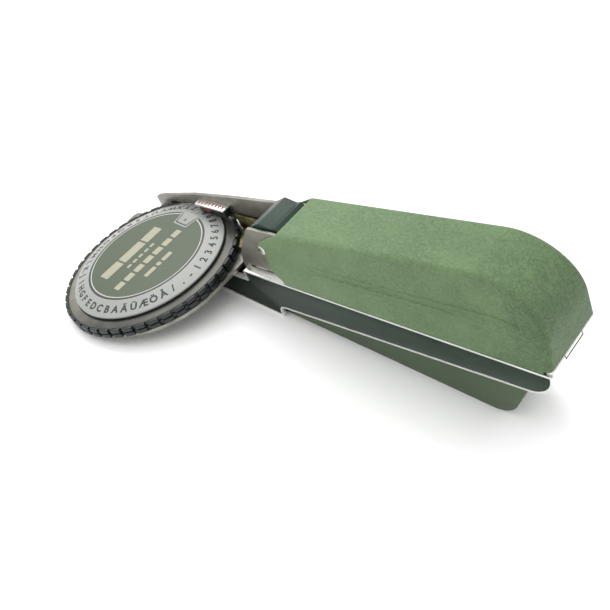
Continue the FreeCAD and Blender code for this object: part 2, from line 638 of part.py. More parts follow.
def make_cutter_blade():
    """Blade beside the plunger that cuts the tape at the dial's cut mark."""
    foot = striker_top() + STRIKER_GAP + FOOT_H
    near, far, back = TAPE_Y - BLADE_HALF, TAPE_Y + BLADE_HALF, BLADE_X + BLADE_T
    arm = block(PRESS_X + PLUNGER_R - 0.3, back, near, far, foot, foot + 0.6)
    edge = PLATE_TOP - BLADE_CLEAR - PLUNGER_TRAVEL
    blade = side_solid([(BLADE_X, foot), (back, foot), (back, edge), (BLADE_X, edge - BLADE_BEVEL)],
                       near, far)
    return arm.fuse(blade).cut(make_plunger())


def make_plunger_guide():
    """Bush under the plate that keeps the plunger upright."""
    low = PLATE_BOTTOM - GUIDE_DEPTH
    bush = upright(PRESS_X, TAPE_Y, PLUNGER_R + GUIDE_WALL, low, PLATE_BOTTOM)
    return bush.cut(upright(PRESS_X, TAPE_Y, PLUNGER_R + RUNNING, low, PLATE_BOTTOM))


def make_return_spring():
    """Spring between the frame's tail and the lever."""
    low = lever_under(SPRING_X - SPRING_R) + LEVER_T + 0.3
    return coil(SPRING_X, MID_Y, low, PLATE_BOTTOM, SPRING_R, SPRING_WIRE, SPRING_TURNS)


# ---------------------------------------------------------------- tape feed and magazine

def axle_ends():
    """Near and far ends of the feed axle, past the roller, its ratchet and the two lugs."""
    side = FEED_WIDTH / 2
    return TAPE_Y - side - RATCHET_T - LUG_T - 0.5, TAPE_Y + side + LUG_T + 0.6


def make_feed_hanger():
    """Two lugs under the floor that hold the feed axle."""
    solids = []
    low, high, foot = FEED_X - LUG_HALF, FEED_X + LUG_HALF, FEED_Z - LUG_DROP
    for y in (axle_ends()[0], axle_ends()[1] - LUG_T):
        lug = side_solid([(low, PLATE_BOTTOM), (high, PLATE_BOTTOM), (high, foot, 2.0),
                          (low, foot, 2.0)], y, y + LUG_T)
        solids.append(lug.cut(crossbar(FEED_X, FEED_Z, FEED_AXLE_R, 0, FAR_OUT)))
    return Part.makeCompound(solids)


def make_feed_axle():
    """Axle of the feed roller."""
    return crossbar(FEED_X, FEED_Z, FEED_AXLE_R, *axle_ends())


def make_feed_roller():
    """Grooved roller that moves the tape on by one character."""
    low, high = TAPE_Y - FEED_WIDTH / 2, TAPE_Y + FEED_WIDTH / 2
    roller = crossbar(FEED_X, FEED_Z, FEED_R, low, high)
    groove = crossbar(FEED_X, FEED_Z, FEED_R + 1, TAPE_Y - FEED_GROOVE, TAPE_Y + FEED_GROOVE)
    groove = groove.cut(crossbar(FEED_X, FEED_Z, FEED_R - FEED_GROOVE_DEPTH, 0, FAR_OUT))
    bore = crossbar(FEED_X, FEED_Z, FEED_AXLE_R + RUNNING, 0, FAR_OUT)
    return roller.cut(groove).cut(bore)


def make_ratchet_wheel():
    """Toothed wheel on the side of the feed roller."""
    low = TAPE_Y - FEED_WIDTH / 2 - RATCHET_T
    points = []
    for i in range(RATCHET_TEETH):
        angle = 2 * math.pi * i / RATCHET_TEETH
        for reach, shift in ((FEED_R - 0.4, 0.0), (FEED_R - 1.2, 0.08)):
            points.append((FEED_X + reach * math.cos(angle + shift),
                           FEED_Z + reach * math.sin(angle + shift)))
    wheel = side_solid(points, low, low + RATCHET_T)
    return wheel.cut(crossbar(FEED_X, FEED_Z, FEED_AXLE_R + RUNNING, 0, FAR_OUT))


def tray_sides():
    """Inner faces of the magazine's two sides."""
    return TAPE_NEAR - ROLL_SIDE_GAP, TAPE_FAR + ROLL_SIDE_GAP


def make_magazine_tray():
    """Tray behind the frame, with a side plate each side of the tape roll."""
    near, far = tray_sides()
    tray_top = PLATE_TOP + TRAY_T
    floor = block(FLOOR_REAR + TRAY_START, ROLL_X + TRAY_REACH, NEAR_IN + TAIL_INSET, TRAY_FAR,
                  PLATE_TOP, tray_top)
    tray = floor.cut(block(ROLL_X - ROLL_R - 1, ROLL_X + ROLL_R + 1, near, far,
                           PLATE_TOP - 1, tray_top + 1))
    front, rear = ROLL_X - ROLL_R + TRAY_SIDE_INSET, ROLL_X + ROLL_R - TRAY_SIDE_INSET
    top = ROLL_Z + TRAY_SIDE_RISE
    for y in (near - TRAY_SIDE_T, far):
        side = side_solid([(front, PLATE_TOP), (rear, PLATE_TOP), (rear, top, 6.0),
                           (front, top, 6.0)], y, y + TRAY_SIDE_T)
        tray = tray.fuse(side)
    holes = [upright(x, y, RIVET_R, PLATE_BOTTOM, tray_top + 1) for x, y in TRAY_RIVETS]
    holes.append(crossbar(ROLL_X, ROLL_Z, POST_R, 0, FAR_OUT))
    return tray.cut(Part.makeCompound(holes))


def make_tray_rivets():
    """Rivets that hold the tray on the frame's tail."""
    solids = []
    for x, y in TRAY_RIVETS:
        tray_top = PLATE_TOP + TRAY_T
        shank = upright(x, y, RIVET_R, PLATE_BOTTOM, tray_top)
        head = upright(x, y, RIVET_R + RIVET_HEAD, tray_top, tray_top + RIVET_HEAD_T)
        solids.append(shank.fuse(head))
    return Part.makeCompound(solids)


def make_spool_post():
    """Post across the magazine that the roll turns on."""
    near, far = tray_sides()
    return crossbar(ROLL_X, ROLL_Z, POST_R, near - TRAY_SIDE_T, far + TRAY_SIDE_T)


def make_spool_core():
    """Core that the tape is wound on."""
    core = crossbar(ROLL_X, ROLL_Z, CORE_R, TAPE_NEAR, TAPE_FAR)
    return core.cut(crossbar(ROLL_X, ROLL_Z, POST_R + RUNNING, 0, FAR_OUT))


def make_tape_roll():
    """Wound embossing tape."""
    roll = crossbar(ROLL_X, ROLL_Z, ROLL_R, TAPE_NEAR, TAPE_FAR)
    return roll.cut(crossbar(ROLL_X, ROLL_Z, CORE_R, 0, FAR_OUT))


# ---------------------------------------------------------------- cover and release bar

def cover_block(inset):
    """Cover's outer form, or with an inset the space inside it."""
    top_rear_x = HANDLE_REAR - REAR_ARC_R
    arc_r = REAR_ARC_R - inset
    turn = math.atan(COVER_SLOPE)
    drop = COVER_SLOPE * top_rear_x
    top = TOP_REAR - inset * math.hypot(1, COVER_SLOPE)
    front, rear = COVER_FRONT - 12, HANDLE_REAR - inset

    def roof(x):
        return top - drop + COVER_SLOPE * x

    corner_z = roof(rear)
    form = side_solid([(front, COVER_BOTTOM - (5 if inset else 0)),
                       (rear, COVER_BOTTOM - (5 if inset else 0)),
                       (rear, corner_z, arc_r * (1 + turn / 4)), (front, roof(front))],
                      NEAR_Y - 1, FAR_Y + 1)
    height = TOP_REAR - COVER_BOTTOM
    lean_y = SIDE_TAPER / height
    near, far = NEAR_Y + inset, FAR_Y - inset

    def wedge(z):
        return (near + lean_y * (z - COVER_BOTTOM), far - lean_y * (z - COVER_BOTTOM))

    low, high = COVER_BOTTOM - 6, TOP_REAR + 6
    points = [(wedge(low)[0], low), (wedge(low)[1], low), (wedge(high)[1], high),
              (wedge(high)[0], high)]
    wire = Part.makePolygon([Vector(front, y, z) for y, z in points + points[:1]])
    sides = Part.Face(wire).extrude(Vector(rear - front, 0, 0))
    form = form.common(sides)
    round_r = EDGE_ROUND - inset
    if round_r <= 0:
        return form
    crease = []
    for edge in form.Edges:
        box = edge.BoundBox
        along_side = box.YLength < SIDE_TAPER + 0.5 and box.XLength > 3
        if along_side and box.ZMin > COVER_BOTTOM + 3:
            crease.append(edge)
    return form.makeFillet(round_r, crease)


def make_cover():
    """Light green cover: a thin shell with a notched nose on each side."""
    shell = cover_block(0).cut(cover_block(COVER_T))
    ahead = COVER_NOSE - 14
    nose = side_solid([(ahead, NOSE_Z + 20), (COVER_FRONT - 4, TOP_FRONT + 9),
                       (COVER_FRONT, TOP_FRONT - 0.4), (COVER_NOSE, NOSE_Z, 0.6),
                       (COVER_NOSE + 0.3, STUD_Z + 1), (COVER_EDGE, STUD_Z - 1),
                       (COVER_EDGE, 0.3, 4.0), (COVER_EDGE + 4.2, -3.0, 0.8),
                       (COVER_EDGE + 4.8, COVER_BOTTOM - 1), (ahead, COVER_BOTTOM - 1)],
                      NEAR_Y - 2, FAR_Y + 2)
    shell = shell.cut(nose)
    notch = crossbar(STUD_X, STUD_Z, STUD_NOTCH_R, 0, FAR_OUT)
    reach = HINGE_R + HINGE_CLEAR
    relief = block(HINGE_X - reach, HANDLE_REAR + 1, NEAR_Y - 1, FAR_Y + 1, COVER_BOTTOM - 1,
                   HINGE_Z + reach)
    return shell.cut([notch, relief])


def make_cover_studs():
    """Flat stud heads on the ears, seen in the cover's notches."""
    solids = []
    rise = math.tan(math.radians(EAR_LEAN)) * (STUD_Z - EAR_FOOT)
    for y, way in ((NEAR_IN + rise, -1), (FAR_IN - rise, 1)):
        low, high = sorted((y + way * STUD_HEAD, y - way * STUD_ROOT))
        head = crossbar(STUD_X, STUD_Z, STUD_R, low, high)
        solids.append(lean(head, y, STUD_Z, way * EAR_LEAN))
    return Part.makeCompound([head.cut(FRAME).Solids[0] for head in solids])


def knuckle(y_low, y_high, bore):
    """One knuckle of the cover's hinge."""
    return crossbar(HINGE_X, HINGE_Z, HINGE_R, y_low, y_high).cut(
        crossbar(HINGE_X, HINGE_Z, bore, y_low, y_high))


def make_chassis_hinge():
    """Two knuckles let into the top of the chassis's rear wall."""
    return Part.makeCompound([knuckle(low, high, HINGE_PIN_R) for low, high in CHASSIS_KNUCKLES])


def make_cover_hinge():
    """Middle knuckle, with its leaf inside the cover's rear wall."""
    half = KNUCKLE_HALF - KNUCKLE_GAP
    inside = HANDLE_REAR - COVER_T
    leaf = block(inside - LEAF_T, inside, MID_Y - half, MID_Y + half, HINGE_Z, HINGE_Z + COVER_LEAF)
    bore = crossbar(HINGE_X, HINGE_Z, HINGE_PIN_R + RUNNING, 0, FAR_OUT)
    return knuckle(MID_Y - half, MID_Y + half, HINGE_PIN_R).fuse(leaf).cut(bore)


def make_hinge_pin():
    """Pin of the cover's hinge."""
    low, high = CHASSIS_KNUCKLES[0][0], CHASSIS_KNUCKLES[1][1]
    return crossbar(HINGE_X, HINGE_Z, HINGE_PIN_R, low, high)


def bar_ends():
    """Near and far ends of the release bar, just inside the leaning ears."""
    rise = math.tan(math.radians(EAR_LEAN)) * (BAR_TOP - EAR_FOOT)
    return NEAR_IN + EAR_T + rise + BAR_CLEAR, FAR_IN - EAR_T - rise - BAR_CLEAR


def make_release_bar():
    """Dark faceted bar between the ears; pressing it frees the cover."""
    near, far = bar_ends()
    return side_solid([(BAR_FRONT, BAR_BOTTOM), (BAR_REAR, BAR_BOTTOM),
                       (BAR_REAR, BAR_TOP - 2.9, 0.5), (BAR_REAR - 3.0, BAR_TOP - 0.4, 0.6),
                       (BAR_REAR - 5.2, BAR_TOP - 1.2, 0.5), (BAR_FRONT + 6.0, BAR_TOP, 0.5),
                       (BAR_FRONT, BAR_TOP - 3.0, 0.6)], near, far)


def make_bar_bridge():
    """Cross-piece between the ears under the release bar."""
    bridge = block(BAR_FRONT + BRIDGE_INSET, BAR_REAR - BRIDGE_INSET, NEAR_IN, FAR_IN,
                   BRIDGE_Z, BRIDGE_Z + BRIDGE_T)
    return max(bridge.cut(FRAME).Solids, key=lambda s: s.Volume)


def make_bar_spring():
    """Spring that lifts the release bar."""
    x = (BAR_FRONT + BAR_REAR) / 2
    return coil(x, MID_Y, BRIDGE_Z + BRIDGE_T, BAR_BOTTOM, SMALL_SPRING_R, SMALL_SPRING_WIRE,
                SMALL_SPRING_TURNS)


FRAME = make_frame_plate()
NODES = {
    "dial_face": make_dial_face(),
    "bevel_ring": make_bevel_ring(),
    "upper_wheel": make_upper_wheel(),
    "wheel_spacer": make_wheel_spacer(),
    "punch_wheel": make_punch_wheel(),
    "dial_axle": make_dial_axle(),
    "frame_plate": FRAME,
    "chassis": make_chassis(),
    "side_panel_near": make_side_panel(True),
    "side_panel_far": make_side_panel(False),
    "frame_rivets": make_frame_rivets(),
    "index_bracket": make_index_bracket(),
    "index_tag": make_index_tag(),
    "tape_guide": make_tape_guide(),
    "pressure_spring": make_pressure_spring(),
    "lever": make_lever(),
    "pivot_pin": make_pivot_pin(),
    "pivot_washers": make_pivot_washers(),
    "striker_pad": make_striker_pad(),
    "plunger": make_plunger(),
    "cutter_blade": make_cutter_blade(),
    "plunger_guide": make_plunger_guide(),
    "return_spring": make_return_spring(),
    "feed_hanger": make_feed_hanger(),
    "feed_axle": make_feed_axle(),
    "feed_roller": make_feed_roller(),
    "ratchet_wheel": make_ratchet_wheel(),
    "magazine_tray": make_magazine_tray(),
    "tray_rivets": make_tray_rivets(),
    "spool_post": make_spool_post(),
    "spool_core": make_spool_core(),
    "tape_roll": make_tape_roll(),
    "cover": make_cover(),
    "cover_studs": make_cover_studs(),
    "chassis_hinge": make_chassis_hinge(),
    "cover_hinge": make_cover_hinge(),
    "hinge_pin": make_hinge_pin(),
    "release_bar": make_release_bar(),
    "bar_bridge": make_bar_bridge(),
    "bar_spring": make_bar_spring(),
}


# ---------------------------------------------------------------- stance

def rest_points(up):
    """Lowest points of the chassis corner, the lever's rear curve and the lobe, seen along up."""
    corner = Vector(NOTCH_X, NEAR_Y, NOTCH_BOTTOM)
    slope = math.atan(LEVER_SLOPE)
    rear = math.atan2(strip_bottom(LEVER_REAR_TOP) + LEVER_UNDERLAP - lever_under(LEVER_REAR_FOOT),
                      LEVER_REAR_TOP - LEVER_REAR_FOOT)
    reach = LEVER_REAR_R * math.tan((rear + slope) / 2)
    first = Vector(LEVER_REAR_FOOT - reach * math.cos(slope), LEVER_NEAR,
                   lever_under(LEVER_REAR_FOOT) + reach * math.sin(slope))
    centre = first + Vector(math.sin(slope), 0, math.cos(slope)) * LEVER_REAR_R
    down = Vector(-up.x, 0, -up.z).normalize()
    outward = Vector(-up.x, -up.y, 0).normalize() * LOBE_R
    lobe = Vector(LOBE_X, LOBE_Y, PLATE_BOTTOM) + outward
    return corner, centre + down * LEVER_REAR_R, lobe


up = Vector(0.1, 0.2, 1).normalize()
for _ in range(30):
    a, b, c = rest_points(up)
    up = (b - a).cross(c - a).normalize()
    if up.z < 0:
        up = up * -1
forward = (Vector(1, 0, 0) - up * up.x).normalize()
across = up.cross(forward)
turn = FreeCAD.Matrix(forward.x, forward.y, forward.z, 0, across.x, across.y, across.z, 0,
                      up.x, up.y, up.z, 0, 0, 0, 0, 1)
STANCE = FreeCAD.Placement(turn)
whole = Part.makeCompound(list(NODES.values()))
whole.Placement = STANCE
bounds = whole.optimalBoundingBox(False, False)
STANCE.move(Vector(-bounds.Center.x, -bounds.Center.y, -bounds.ZMin))

os.makedirs("parts", exist_ok=True)
for name, shape in NODES.items():
    standing = shape.copy()
    standing.Placement = STANCE.multiply(shape.Placement)
    standing.exportStep(f"parts/{name}.step")
    state = "ok" if shape.isValid() else "NOT VALID"
    print(f"{name:18s} solids {len(shape.Solids)} volume {shape.Volume:9.1f} mm3 {state}")
print(f"stands on {[tuple(round(v, 2) for v in p) for p in rest_points(up)]}")
print(f"size {bounds.XLength:.1f} x {bounds.YLength:.1f} x {bounds.ZLength:.1f} mm, up {tuple(up)}")
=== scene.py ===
# %% [markdown]
# # A hand-held label maker
# The tool is a long handle with a lettered dial at its front. The dial is turned to a character and
# the handle is squeezed, which presses that character into a strip of vinyl tape.
# The mechanical model is made elsewhere and comes in as a fixed frame. This script adds the looks:
# rounded edges, the knurled dial and its print, and a finish for every piece.

# %% Load the frame
import json
import math

import bmesh
import bpy
from mathutils import Matrix, Vector

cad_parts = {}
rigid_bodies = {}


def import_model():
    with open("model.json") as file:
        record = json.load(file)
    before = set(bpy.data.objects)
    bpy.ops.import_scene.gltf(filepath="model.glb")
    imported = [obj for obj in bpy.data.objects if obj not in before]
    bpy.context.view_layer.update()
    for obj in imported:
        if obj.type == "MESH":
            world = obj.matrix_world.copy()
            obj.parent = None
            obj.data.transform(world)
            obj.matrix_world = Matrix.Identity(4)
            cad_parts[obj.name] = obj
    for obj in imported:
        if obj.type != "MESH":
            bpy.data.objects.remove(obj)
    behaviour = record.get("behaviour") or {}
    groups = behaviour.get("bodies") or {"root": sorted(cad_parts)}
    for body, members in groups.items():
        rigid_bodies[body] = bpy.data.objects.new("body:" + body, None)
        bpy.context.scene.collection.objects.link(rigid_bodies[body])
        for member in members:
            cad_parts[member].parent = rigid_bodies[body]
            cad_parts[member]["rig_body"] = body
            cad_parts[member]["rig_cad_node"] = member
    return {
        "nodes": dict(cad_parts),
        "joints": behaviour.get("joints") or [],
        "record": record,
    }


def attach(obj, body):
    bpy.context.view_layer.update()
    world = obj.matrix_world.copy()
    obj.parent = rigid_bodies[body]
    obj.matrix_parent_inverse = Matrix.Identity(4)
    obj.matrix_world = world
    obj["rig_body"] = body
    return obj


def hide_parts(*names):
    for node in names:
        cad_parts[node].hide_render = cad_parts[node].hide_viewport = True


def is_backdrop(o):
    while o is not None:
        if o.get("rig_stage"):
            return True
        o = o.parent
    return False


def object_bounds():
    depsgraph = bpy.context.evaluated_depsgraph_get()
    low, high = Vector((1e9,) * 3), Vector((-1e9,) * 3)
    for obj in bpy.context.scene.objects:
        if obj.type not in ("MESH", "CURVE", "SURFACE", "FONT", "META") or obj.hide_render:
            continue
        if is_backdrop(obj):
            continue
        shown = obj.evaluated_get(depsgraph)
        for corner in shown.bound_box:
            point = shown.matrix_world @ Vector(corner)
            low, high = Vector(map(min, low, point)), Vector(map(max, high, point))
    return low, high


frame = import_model()
cad_low, cad_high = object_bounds()
record = frame["record"]

# %% [markdown]
# ## A bench to work on
# The tool lies tilted on the floor, which is awkward to model in. Each piece could be modelled in
# place with turned axes, but it is simpler to model it on a bench, in millimetres: the dial turns
# about Z, the handle runs back along X, and the dial's flat top is at Z = 0. One matrix, read from
# two joint axes of the frame, then carries a finished mesh to its place in the tool.

# %% The bench and its matrix
MM = 0.001
joints = {joint["name"]: joint for joint in frame["joints"]}
bench_up = Vector(joints["dial_spin"]["axis"]).normalized()
bench_across = Vector(joints["cover_open"]["axis"]).normalized()
bench_along = bench_across.cross(bench_up)
pivot = Vector(joints["dial_spin"]["pos_m"])
face_rise = max((v.co - pivot).dot(bench_up) for v in frame["nodes"]["dial_face"].data.vertices)
bench_axes = Matrix((bench_along, bench_across, bench_up)).transposed()
BENCH = Matrix.Translation(pivot + bench_up * face_rise) @ bench_axes.to_4x4() @ Matrix.Scale(MM, 4)
TO_BENCH = BENCH.inverted()


def span(node):
    """Lowest and highest corner of a CAD node on the bench, in millimetres."""
    points = [TO_BENCH @ v.co for v in frame["nodes"][node].data.vertices]
    low = Vector(min(p[i] for p in points) for i in range(3))
    high = Vector(max(p[i] for p in points) for i in range(3))
    return low, high


LETTER_R = span("dial_face")[1].x       # outer edge of the lettered sheet
plunger_low, plunger_high = span("plunger")
press = (plunger_low + plunger_high) / 2
INDEX = math.atan2(press.y, press.x)    # direction from the dial's axis to the plunger
print(f"bench: letters reach {LETTER_R:.1f} mm, index at {math.degrees(INDEX):.1f} degrees")

# %% [markdown]
# ## Selecting
# Blender's operators act on whatever is selected, and loading leaves the whole frame selected. A
# mesh could also be built point by point in code, without operators, but then it can't be followed
# by hand. So these few functions make the selection exact: they clear it, take one object, open it
# in edit mode and pick faces or edges by a test.

# %% Selecting and editing


def only(obj):
    """Selects this object and nothing else."""
    bpy.ops.object.select_all(action="DESELECT")
    obj.select_set(True)
    bpy.context.view_layer.objects.active = obj
    return obj


def fix_place(obj):
    """Moves an object's place, turn and size into its mesh."""
    only(obj)
    bpy.ops.object.transform_apply(location=True, rotation=True, scale=True)


def open_mesh(obj, kind="FACE"):
    """Opens a mesh in edit mode with nothing selected."""
    only(obj)
    bpy.ops.object.mode_set(mode="EDIT")
    bpy.ops.mesh.select_mode(type=kind)
    bpy.ops.mesh.select_all(action="DESELECT")


def pick(test, kind="faces"):
    """Selects the faces, edges or verts of the open mesh that pass the test, and no others."""
    bpy.ops.mesh.select_all(action="DESELECT")
    mesh = bpy.context.object.data
    work = bmesh.from_edit_mesh(mesh)
    for item in getattr(work, kind):
        if test(item):
            item.select_set(True)
    bmesh.update_edit_mesh(mesh)


def close_mesh():
    """Leaves edit mode."""
    bpy.ops.object.mode_set(mode="OBJECT")


print("selected after loading:", len(bpy.context.selected_objects), "objects")

# %% [markdown]
# ## Modifiers and placing
# Rounding edges by hand would take a selection for each piece. The Bevel modifier finds sharp edges
# by their angle, so one call does it, and once applied it leaves a plain mesh. A finished piece is
# then carried from the bench into the tool, on the body of the CAD node it is like, with its finish.

# %% Modifiers, joining and placing
body_of = {node: body for body, nodes in record["behaviour"]["bodies"].items() for node in nodes}
slot_of = {part["node"]: part["material_slot"] for part in record["subparts"]}


def apply_modifier(obj, kind, **settings):
    """Adds a modifier with these settings and applies it."""
    modifier = obj.modifiers.new(kind.lower(), kind)
    for name, value in settings.items():
        setattr(modifier, name, value)
    only(obj)
    bpy.ops.object.modifier_apply(modifier=modifier.name)


def round_edges(obj, width, segments=2, angle=32):
    """Rounds every edge sharper than the angle."""
    apply_modifier(obj, "BEVEL", width=width, segments=segments, limit_method="ANGLE",
                   angle_limit=math.radians(angle), use_clamp_overlap=True)


def repeat(obj, count, step):
    """Copies a piece in a row, each copy one step further on."""
    apply_modifier(obj, "ARRAY", count=count, use_relative_offset=False, use_constant_offset=True,
                   constant_offset_displace=step)


def join(pieces):
    """Joins several pieces into the first."""
    bpy.ops.object.select_all(action="DESELECT")
    for piece in pieces:
        piece.select_set(True)
    bpy.context.view_layer.objects.active = pieces[0]
    bpy.ops.object.join()
    return pieces[0]


def place(obj, name, like, look, replaces=(), smooth=35):
    """Carries a bench piece to its place, on the body of the CAD node it is like, with the given
    finish.
    """
    fix_place(obj)
    bpy.ops.object.shade_smooth_by_angle(angle=math.radians(smooth))
    obj.data.transform(BENCH)
    obj.name = name
    obj.data.name = name
    obj.data.materials.clear()
    obj.data.materials.append(look)
    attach(obj, body_of[like])
    if replaces:
        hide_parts(*replaces)
    print(f"{name}: {len(obj.data.polygons)} faces, on {body_of[like]}")


print("bodies and slots are known for", len(body_of), "nodes")

# %% [markdown]
# ## Building a finish
# Every finish is a small node tree on the Principled shader. Patterns could follow UV maps, but a
# metal or moulded surface has no seams to unwrap along. So they are laid out in bench millimetres: a
# Mapping node turns Object coordinates back to the bench, where a scratch 0.2 mm wide is really
# 0.2 mm wide and stays put when the piece moves.

# %% Building materials
bench_place, bench_turn, bench_scale = TO_BENCH.decompose()
FACTOR, FLOAT_A, FLOAT_B, COLOUR_A, COLOUR_B = 0, 2, 3, 6, 7    # sockets of a Mix node


def colour(code):
    """Turns an sRGB hex colour such as 8fa77c into the linear colour that a shader needs."""
    def linear(level):
        return level / 12.92 if level <= 0.04045 else ((level + 0.055) / 1.055) ** 2.4
    return tuple(linear(int(code[i:i + 2], 16) / 255) for i in (0, 2, 4)) + (1.0,)


def connect(tree, node, sockets):
    """Fills sockets with numbers, hex colours, other nodes' sockets or other nodes' results."""
    for key, value in sockets.items():
        if isinstance(value, bpy.types.Node):
            value = next(result for result in value.outputs if result.enabled)
        if isinstance(value, bpy.types.NodeSocket):
            tree.links.new(value, node.inputs[key])
        else:
            node.inputs[key].default_value = colour(value) if isinstance(value, str) else value


def add(tree, kind, sockets, stops=(), **settings):
    """Adds one node with its settings, its colour stops if it has any, and its sockets."""
    node = tree.nodes.new("ShaderNode" + kind)
    for name, value in settings.items():
        setattr(node, name, value)
    if stops:
        points = node.color_ramp.elements
        while len(points) < len(stops):
            points.new(0.5)
        for point, (position, code) in zip(points, stops):
            point.position = position
            point.color = colour(code)
    connect(tree, node, sockets)
    return node


def finish(name, **values):
    """Starts a material: its node tree, its Principled shader and bench coordinates."""
    material = bpy.data.materials.new(name)
    material.use_nodes = True
    tree = material.node_tree
    shader = tree.nodes["Principled BSDF"]
    connect(tree, shader, {key.replace("_", " "): value for key, value in values.items()})
    place_at = add(tree, "TexCoord", {}).outputs["Object"]
    where = add(tree, "Mapping", {"Vector": place_at, "Location": bench_place,
                                  "Rotation": bench_turn.to_euler("XYZ"), "Scale": bench_scale})
    return material, tree, shader, where


print(f"materials: bench turned by {[round(math.degrees(a), 1) for a in bench_turn.to_euler()]}")

# %% [markdown]
# ## Metals
# Three metals show. The chassis is bright nickel-plated steel, nearly a mirror but softly blurred.
# The frame plate is satin: it was brushed along the handle, which draws fine streaks in its
# roughness. The tape guide is plain brass, dulled by handling. Springs and pins are drawn steel. One
# flat value for each would look like plastic, so noise varies both the tint and the roughness. A
# Mapping node with a small X scale stretches the noise into streaks along the handle.

# %% Metal finishes


def make_bright_nickel():
    """Bright nickel plate: pale and smooth, with faint wipe marks 3 mm wide."""
    material, tree, shader, where = finish("bright_nickel_plate", Metallic=1.0)
    wiped = add(tree, "Mapping", {"Vector": where, "Scale": (0.25, 1, 1)})
    marks = add(tree, "TexNoise", {"Vector": wiped, "Scale": 1 / 3.0, "Detail": 4.0})
    tint = add(tree, "ValToRGB", {"Fac": marks}, [(0.3, "dadad6"), (0.7, "e8e8e4")])
    dull = add(tree, "MapRange", {"Value": marks, "To Min": 0.2, "To Max": 0.36})
    connect(tree, shader, {"Base Color": tint, "Roughness": dull})
    return material


def make_satin_nickel():
    """Satin nickel sheet: brush lines 0.3 mm apart along the handle, and cloudy tarnish."""
    material, tree, shader, where = finish("satin_nickel_sheet", Metallic=1.0)
    brushed = add(tree, "Mapping", {"Vector": where, "Scale": (0.03, 1, 1)})
    lines = add(tree, "TexNoise", {"Vector": brushed, "Scale": 1 / 0.3, "Detail": 2.0})
    clouds = add(tree, "TexNoise", {"Vector": where, "Scale": 1 / 9.0, "Detail": 4.0,
                                    "Roughness": 0.6})
    tint = add(tree, "ValToRGB", {"Fac": clouds}, [(0.3, "7d7c74"), (0.7, "9a9990")])
    dull = add(tree, "MapRange", {"Value": lines, "To Min": 0.34, "To Max": 0.56})
    bump = add(tree, "Bump", {"Height": lines, "Distance": 0.006 * MM})
    connect(tree, shader, {"Base Color": tint, "Roughness": dull, "Normal": bump})
    return material


def make_spring_steel():
    """Spring and pin steel: darker than the plate, with a drawn sheen."""
    material, tree, shader, where = finish("drawn_spring_steel", Metallic=1.0)
    drawn = add(tree, "TexNoise", {"Vector": where, "Scale": 1 / 0.5, "Detail": 2.0})
    tint = add(tree, "ValToRGB", {"Fac": drawn}, [(0.3, "8d8f8e"), (0.7, "b4b5b3")])
    dull = add(tree, "MapRange", {"Value": drawn, "To Min": 0.25, "To Max": 0.4})
    connect(tree, shader, {"Base Color": tint, "Roughness": dull})
    return material


def make_brass():
    """Plain brass strip, dulled in patches 2.5 mm wide."""
    material, tree, shader, where = finish("dulled_brass", Metallic=1.0)
    patches = add(tree, "TexNoise", {"Vector": where, "Scale": 1 / 2.5, "Detail": 5.0,
                                     "Roughness": 0.65})
    tint = add(tree, "ValToRGB", {"Fac": patches}, [(0.35, "6f6a48"), (0.65, "a89d72")])
    dull = add(tree, "MapRange", {"Value": patches, "To Min": 0.3, "To Max": 0.55})
    connect(tree, shader, {"Base Color": tint, "Roughness": dull})
    return material


bright_nickel = make_bright_nickel()
satin_nickel = make_satin_nickel()
spring_steel = make_spring_steel()
brass = make_brass()
print("metals:", bright_nickel.name, satin_nickel.name, spring_steel.name, brass.name)

# %% [markdown]
# ## Paints
# The cover has wrinkle paint: the film shrinks as it bakes and folds into fine pebbles about a
# millimetre across, which hide fingerprints. The pebbles could be real displaced geometry, but at
# this size a Bump node shows them as well and keeps the mesh light. The lever has plain enamel of a
# deeper green. The side panels have a nearly black green satin enamel.

# %% Paint finishes
# The first colour is painted shade in the hollows of the pebbles; the other two are the paint's own
# tones.
COVER_HOLLOW_SHADE, COVER_DARK, COVER_LIGHT = "344b2d", "536b46", "667f57"
# The next two are painted light, paler at the front of the top, and painted shade, darker on the rear
# face.
COVER_FRONT_LIGHT, COVER_REAR_SHADE = "86a077", "384e2e"
PEBBLE, FOLD = 1.1, 1.9             # mm across, on the top and at the rear bend
BEND_STARTS, BEND_ENDS = 135, 165   # where the pebbles turn into folds, along the handle
FRONT_LIGHT_STARTS, FRONT_LIGHT_ENDS = 70, 150    # painted light: the top is palest at the front, where it is lit
REAR_SHADE_STARTS, REAR_SHADE_ENDS = 158, 174   # painted shade: the rear face is darkest
PANEL_SHADE_FULL, PANEL_SHADE_ENDS = 30, 85     # painted shade: the panels are darkest under the dial, where its shadow falls
